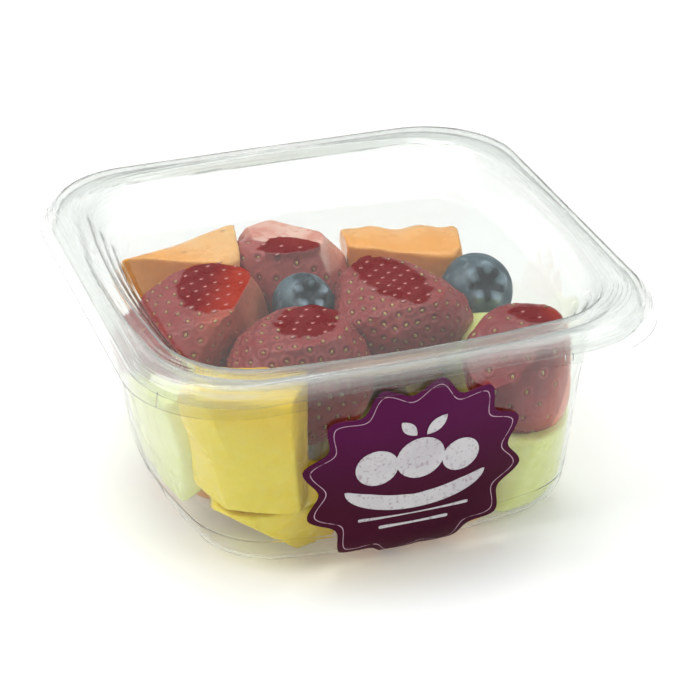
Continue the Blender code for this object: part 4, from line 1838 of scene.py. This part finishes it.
class Contents:
    """All the fruit in the tub."""

    strawberries = (
        Strawberry(
            "strawberry_left",
            pulls=(
                Pull((-44.0, -2.0, 43.0), 15.0, (-7.0, -2.4, 0.6)),
                Pull((-38.0, -18.0, 40.0), 11.0, (-3.0, -4.0, 0.0)),
            ),
            centre=(-30.0, 8.5, 35.6), size=(38.0, 31.0, 46.0), turn=(68.0, 0.0, -24.0),
            cut=Knife((-16.0, 13.0, 45.4), (0.87, -0.46, 0.17)),
            patch=Patch((-29.4, 5.9), (13.8, 8.9), 68.0),
            seeds=360, pale=0.25, glow=1.0,
        ),
        Strawberry(
            "strawberry_back",
            centre=(-4.0, 26.0, 34.4), size=(34.0, 30.0, 40.0), turn=(-58.0, 0.0, 8.0),
            cut=Knife((1.6, 28.4, 49.4), (0.66, 0.53, 0.53)),
            patch=Patch((-6.4, 19.2), (7.1, 5.9), 153.0),
            seeds=230, rise=4.8,
            sliced=((-7.2, 22.4), (0.60, 0.80)),
            slice_from=-13.0, pale=0.8, glow=0.25,
        ),
        Strawberry(
            "strawberry_front",
            centre=(-17.0, -17.0, 35.4), size=(35.0, 31.0, 38.0), turn=(74.0, 0.0, 6.0),
            patch=Patch((-14.3, -18.8), (8.3, 6.9), 46.0),
            seeds=300, pale=0.12,
        ),
        Strawberry(
            "strawberry_middle",
            pulls=(Pull((27.0, -10.0, 40.0), 13.0, (4.6, -0.6, 0.0)),),
            centre=(12.0, -1.5, 36.7), size=(31.0, 30.0, 47.0), turn=(72.0, 0.0, -14.0),
            patch=Patch((12.1, -5.1), (13.6, 7.0), 102.0),
            pale=0.15,
        ),
        Strawberry(
            "strawberry_right",
            pulls=(
                Pull((42.0, -42.0, 27.0), 11.0, (3.2, -0.8, -2.6)),
                Pull((33.0, -42.0, 22.0), 9.0, (1.0, 0.0, -2.4)),
            ),
            centre=(32.2, -34.8, 37.2), size=(31.0, 22.0, 29.0), turn=(-6.0, -6.0, 30.0),
            cut=Knife((41.5, -41.0, 32.4), (0.93, -0.05, -0.36)),
            patch=Patch((36.9, -33.0), (5.6, 3.9), -33.0),
            seeds=80, glow=1.0,
        ),
    )
    blueberries = (
        Blueberry("blueberry_middle", (-7.8, 3.7, 42.0), (15.4, 15.4, 14.4), (41.0, 0.0, 7.0)),
        Blueberry("blueberry_right", (36.2, 0.4, 40.2), (18.2, 18.2, 15.4), (52.0, 0.0, 5.0)),
    )
    cantaloupes = (
        CutBlock(
            "cantaloupe_left",
            fine=0.5, soften=6,
            deep_way=(-0.8, -1.0, -0.4), deep_from=0.42,
            pulls=(
                Pull((-43.0, 15.0, 44.0), 11.0, (-7.0, 0.5, 1.0)),
                Pull((-46.0, 27.0, 46.0), 9.0, (-2.0, 0.5, 1.0)),
                Pull((-28.0, 19.0, 47.0), 9.0, (0.0, -3.0, 0.5)),
            ),
            specks=((-30.8, 27.7, 47.5), (-18.4, 35.6, 47.5)),
        ),
        CutBlock(
            "cantaloupe_right",
            fine=0.5, soften=5,
            deep_way=(-0.3, -0.6, 0.8), deep_from=0.55,
            pulls=(
                Pull((11.0, 35.0, 48.0), 7.0, (-0.5, 0.0, -3.2)),
                Pull((5.5, 20.0, 46.0), 7.0, (0.0, 0.0, -2.0)),
                Pull((25.0, 31.0, 48.0), 4.5, (0.0, 0.0, -1.6)),
                Pull((41.0, 25.0, 48.0), 7.0, (0.5, 0.0, -2.8)),
            ),
        ),
        CutBlock("cantaloupe_front"),
        CutBlock(
            "cantaloupe_low",
            knives=(Knife((-35.0, -14.0, 10.0), (-0.75, -0.65, 0.0)),),
        ),
    )
    honeydews = (
        CutBlock(
            "honeydew_left",
            deep_from=0.75,
            knives=(Knife((-46.0, -8.0, 38.0), (-0.15, 0.1, 0.98)),),
            pulls=(Pull((-46.0, -24.0, 26.0), 12.0, (1.0, -5.0, -1.0)),),
        ),
        CutBlock(
            "honeydew_front",
            deep_from=0.7,
            knives=(Knife((27.0, -45.5, 16.0), (-0.45, -0.89, 0.10)),),
        ),
        CutBlock("honeydew_middle"),
        CutBlock("honeydew_low"),
        CutBlock("honeydew_back"),
        CutBlock("honeydew_corner"),
    )
    mangoes = (
        CutBlock(
            "mango_front",
            fine=0.5,
            deep_way=(0.3, -0.3, 1.0), deep_from=0.55,
            knives=(
                Knife((-46.3, -29.0, 23.2), (-0.937, -0.299, -0.182)),
                Knife((-24.6, -50.0, 34.0), (0.95, -0.312, 0.0)),
                Knife((-27.6, -49.6, 34.0), (0.80, -0.60, 0.04)),
            ),
            pulls=(Pull((-46.0, -34.0, 45.0), 9.0, (-3.0, 0.5, 0.5)),),
        ),
        CutBlock(
            "mango_low",
            fine=0.5,
            deep_from=0.8,
            knives=(
                Knife((-42.2, -45.0, 18.0), (-0.573, -0.332, -0.75)),
                Knife((-20.4, -44.0, 3.2), (0.541, -0.593, -0.597)),
                Knife((-30.0, -45.6, 12.0), (0.20, -0.90, -0.38)),
            ),
        ),
        CutBlock("mango_right"),
        CutBlock("mango_back"),
    )
    kinds = (
        (
            "cantaloupe",
            cantaloupes,
            Flesh(
                "cantaloupe_flesh",
                main=(0.94, 0.46, 0.15), patch=(0.95, 0.54, 0.22),
                strand=(0.95, 0.60, 0.30), deep=(0.93, 0.39, 0.07),
                strands=0.25,
            ),
        ),
        (
            "honeydew",
            honeydews,
            Flesh(
                "honeydew_flesh",
                main=(0.76, 0.80, 0.24), patch=(0.82, 0.85, 0.36),
                strand=(0.88, 0.90, 0.50), deep=(0.66, 0.72, 0.14),
            ),
        ),
        (
            "mango",
            mangoes,
            Flesh(
                "mango_flesh",
                main=(0.91, 0.65, 0.015), patch=(0.94, 0.73, 0.05),
                strand=(0.95, 0.80, 0.14), deep=(0.90, 0.58, 0.005),
                dry=0.34,
            ),
        ),
    )

    def __init__(self, effects: Effects, ceiling: float, wall: TubWall) -> None:
        """Keeps the shared effects, the height of the lid's underside and the wall."""
        self.effects = effects
        self.ceiling = ceiling
        self.wall = wall

    def build(self) -> list[bpy.types.Object]:
        """Makes every piece.

        Returns:
            The pieces, which the lid's fog looks down on.
        """
        bounds = self.ceiling, self.wall
        skin = StrawberryFlesh().build(self.effects)
        seed_coat = SeedCoat().build(self.effects)
        made = [berry.build(skin, seed_coat, *bounds) for berry in self.strawberries]
        blue = BlueberrySkin().build(self.effects)
        made += [berry.build(blue, *bounds) for berry in self.blueberries]
        for slot, blocks, finish in self.kinds:
            flesh = finish.build(self.effects)
            made += [block.build(flesh, slot, *bounds) for block in blocks]
        return made


@dataclass
class FogFilm:
    """The fog under the lid's floor, cleared where fruit presses on it.

    Attributes:
        floor: The edge of the lid's floor.
        z: The height of the film.
        cell: The size of its cells.
        edge: How far out the film reaches, as a share of the floor.
        clear: The gaps over the fruit between which the fog sets in.
        depth: How far under the film a piece may lie and still be looked for.
    """

    floor: Ring
    z: float
    cell: float = 0.42
    edge: float = 0.985
    clear: tuple[float, float] = (0.16, 0.30)
    depth: float = 12.0

    def build(self, material: bpy.types.Material, fruit: list[bpy.types.Object]) -> None:
        """Makes the film and stores how foggy each point is.

        Args:
            material: The fog's material.
            fruit: The pieces under the lid.
        """
        deselect_all()
        width = 2 * self.floor.arcs()[0]
        cells = int(width / self.cell)
        bpy.ops.mesh.primitive_grid_add(
            x_subdivisions=cells,
            y_subdivisions=cells,
            size=width * MM,
            location=(0, 0, self.z * MM),
        )
        obj = bpy.context.object
        obj.name = obj.data.name = "lid_fog"
        bpy.ops.object.transform_apply(location=True, rotation=True, scale=True)
        self._trim(obj)
        points = points_of(obj)
        gaps = self._gaps(points, fruit)
        store(obj, "fog", smoothstep(*self.clear, gaps))
        finish_piece(obj, material, "clear_plastic", angle=30.0)

    def _trim(self, obj: bpy.types.Object) -> None:
        """Removes what lies outside the floor's rounded outline."""
        outline = np.array([self.floor.facing(turn)[:2] for turn in range(0, 360, 3)]) * self.edge
        sides = np.roll(outline, -1, axis=0) - outline
        away = points_of(obj)[:, None, :2] - outline
        keep = (sides[:, 0] * away[:, :, 1] - sides[:, 1] * away[:, :, 0] >= 0).all(axis=1)
        select_points(obj, ~keep)
        with edit_mode():
            bpy.ops.mesh.select_mode(type="VERT")
            bpy.ops.mesh.delete(type="VERT")

    def _gaps(self, points: np.ndarray, fruit: list[bpy.types.Object]) -> np.ndarray:
        """How far under the film each point finds fruit, in millimetres."""
        graph = bpy.context.evaluated_depsgraph_get()
        gaps = np.full(len(points), FAR)
        for piece in fruit:
            body = points_of(piece)
            low, high = body.min(axis=0), body.max(axis=0)
            if high[2] < self.z - self.depth:
                continue
            tree = BVHTree.FromObject(piece, graph)
            level = points[:, :2]
            over = (level > low[:2]).all(axis=1) & (level < high[:2]).all(axis=1)
            for index in np.where(over)[0]:
                start = Vector((*level[index], self.z + 1)) * MM
                hit, _, _, far = tree.ray_cast(start, Vector((0, 0, -1)))
                if hit is not None:
                    gaps[index] = min(gaps[index], far / MM - 1)
        return gaps


# ---------------------------------------------------------------- the studio


class Lamp(Enum):
    """The soft lamps of the studio: place and size in metres, power in watts, and colour."""

    KEY = ((-0.60, 0.10, 0.70), 0.50, 4.2, (1.0, 0.99, 0.97))
    FILL = ((0.55, -0.45, 0.60), 0.60, 2.2, (0.98, 0.99, 1.0))
    TOP = ((0.05, 0.20, 0.90), 0.50, 3.9, (1.0, 1.0, 1.0))


@dataclass
class Studio:
    """A pale floor lit faintly from below, soft lamps, a bright ceiling and the camera.

    Attributes:
        eye: Where the camera stands, in metres from the middle of the lid's flange.
        aim: Where it looks at, in the same way.
        lens: Its focal length in millimetres.
        faces: What the lamps face, in metres.
        floor: The two colours that wander over the floor.
        glow: The floor's colour where light falls on it through the fruit.
        glow_at: The middle of that glow.
        glow_reach: How far from its middle the glow starts to fade, and where it ends.
        walls: The colour of the room's walls.
        ceiling: The colour of its ceiling.
    """

    eye: Triple = (-0.1720, -0.4998, 0.259)
    aim: Triple = (-0.0015, -0.01254, -0.0226)
    lens: float = 126.7
    faces: Triple = (0.0, 0.0, 0.03)
    floor: tuple[Rgb, Rgb] = ((0.78, 0.78, 0.775), (0.80, 0.80, 0.795))
    glow: Rgb = (0.83, 0.76, 0.55)
    glow_at: Triple = (-4.0, -30.0, 0.0)
    glow_reach: tuple[float, float] = (12.0, 40.0)
    walls: Rgb = (0.14, 0.148, 0.145)
    ceiling: Rgb = (1.0, 1.0, 1.0)

    def build(self) -> None:
        """Makes the floor, the lamps, the room's light and the camera."""
        self._floor()
        for lamp in Lamp:
            self._stand(lamp)
        self._room()
        self._camera()

    def _floor(self) -> None:
        """A wide pale floor, warm where light falls on it through the fruit."""
        deselect_all()
        bpy.ops.mesh.primitive_plane_add(size=6.0, location=(0, 0, 0))
        floor = bpy.context.object
        floor.name = "floor"
        material, graph, shader = new_material("pale_floor")
        where = graph.place()
        colour = graph.blend(graph.noise(where, 0.02, 2.0), *self.floor)
        spot = graph.add("ShaderNodeVectorMath", {0: where, 1: self.glow_at}, operation="DISTANCE")
        reach = graph.ramp(spot.outputs["Value"], *self.glow_reach)
        tinted = graph.blend(graph.math("SUBTRACT", 1.0, reach), colour, self.glow)
        graph.feed(shader.inputs["Base Color"], tinted)
        set_inputs(
            shader,
            {
                "Roughness": 0.75,
                "Specular IOR Level": 0.15,
                "Emission Color": (1.0, 1.0, 1.0, 1.0),
                "Emission Strength": 0.20,
            },
        )
        floor.data.materials.append(material)

    def _stand(self, lamp: Lamp) -> None:
        """Stands a soft square lamp that faces the tub."""
        place, size, power, colour = lamp.value
        data = bpy.data.lights.new(lamp.name.lower(), "AREA")
        data.size, data.energy, data.color = size, power, colour
        obj = bpy.data.objects.new(lamp.name.lower(), data)
        obj.location = place
        way = Vector(self.faces) - Vector(place)
        obj.rotation_euler = way.to_track_quat("-Z", "Y").to_euler()
        bpy.context.scene.collection.objects.link(obj)

    def _room(self) -> None:
        """A room with a bright ceiling and dim walls."""
        world = bpy.data.worlds.new("room")
        world.use_nodes = True
        graph = Graph(world.node_tree)
        way = graph.add("ShaderNodeTexCoord").outputs["Generated"]
        height = graph.add("ShaderNodeSeparateXYZ", {"Vector": way}).outputs["Z"]
        share = graph.ramp(height, 0.35, 0.95)
        colour = graph.blend(share, self.walls, self.ceiling)
        room = world.node_tree.nodes["Background"]
        graph.feed(room.inputs["Color"], colour)
        room.inputs["Strength"].default_value = 0.75
        bpy.context.scene.world = world
        bpy.context.scene.view_settings.view_transform = "Standard"

    def _camera(self) -> None:
        """The camera, its places raised by the tub's height."""
        data = bpy.data.cameras.new("camera")
        data.lens, data.sensor_width = self.lens, 36.0
        obj = bpy.data.objects.new("camera", data)
        lid = Vector((0, 0, HEIGHT * MM))
        eye, aim = Vector(self.eye) + lid, Vector(self.aim) + lid
        obj.location = eye
        obj.rotation_euler = (aim - eye).to_track_quat("-Z", "Y").to_euler()
        bpy.context.scene.collection.objects.link(obj)
        bpy.context.scene.camera = obj


def write_sizes() -> None:
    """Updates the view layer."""
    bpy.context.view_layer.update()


def main() -> None:
    """Builds the studio, the pack, the seal, the fruit and the fog in order."""
    logging.basicConfig(level=logging.INFO, format="%(name)s %(message)s")
    effects = Effects()
    Studio().build()
    plastic = ClearPlastic().build()
    wall, lid = TubWall(), LidForm()
    Shell("tub_shell", "tub", wall.profile(), 1, (HEIGHT - 6.5, HEIGHT - 4.0)).build(plastic)
    Shell("lid_shell", "lid", lid.profile(), -1, (HEIGHT - 6.2, HEIGHT - 0.4)).build(plastic)
    RimMarks(lid).build(plastic)
    Seal(wall).build(SealPaper().build(effects), SealInk().build(effects))
    ceiling = HEIGHT - lid.floor_depth - PLASTIC - LID_GAP
    fruit = Contents(effects, ceiling, wall).build()
    FogFilm(lid.floor(), ceiling + FOG_LIFT).build(LidFog().build(), fruit)
    write_sizes()


if __name__ == "__main__":
    main()
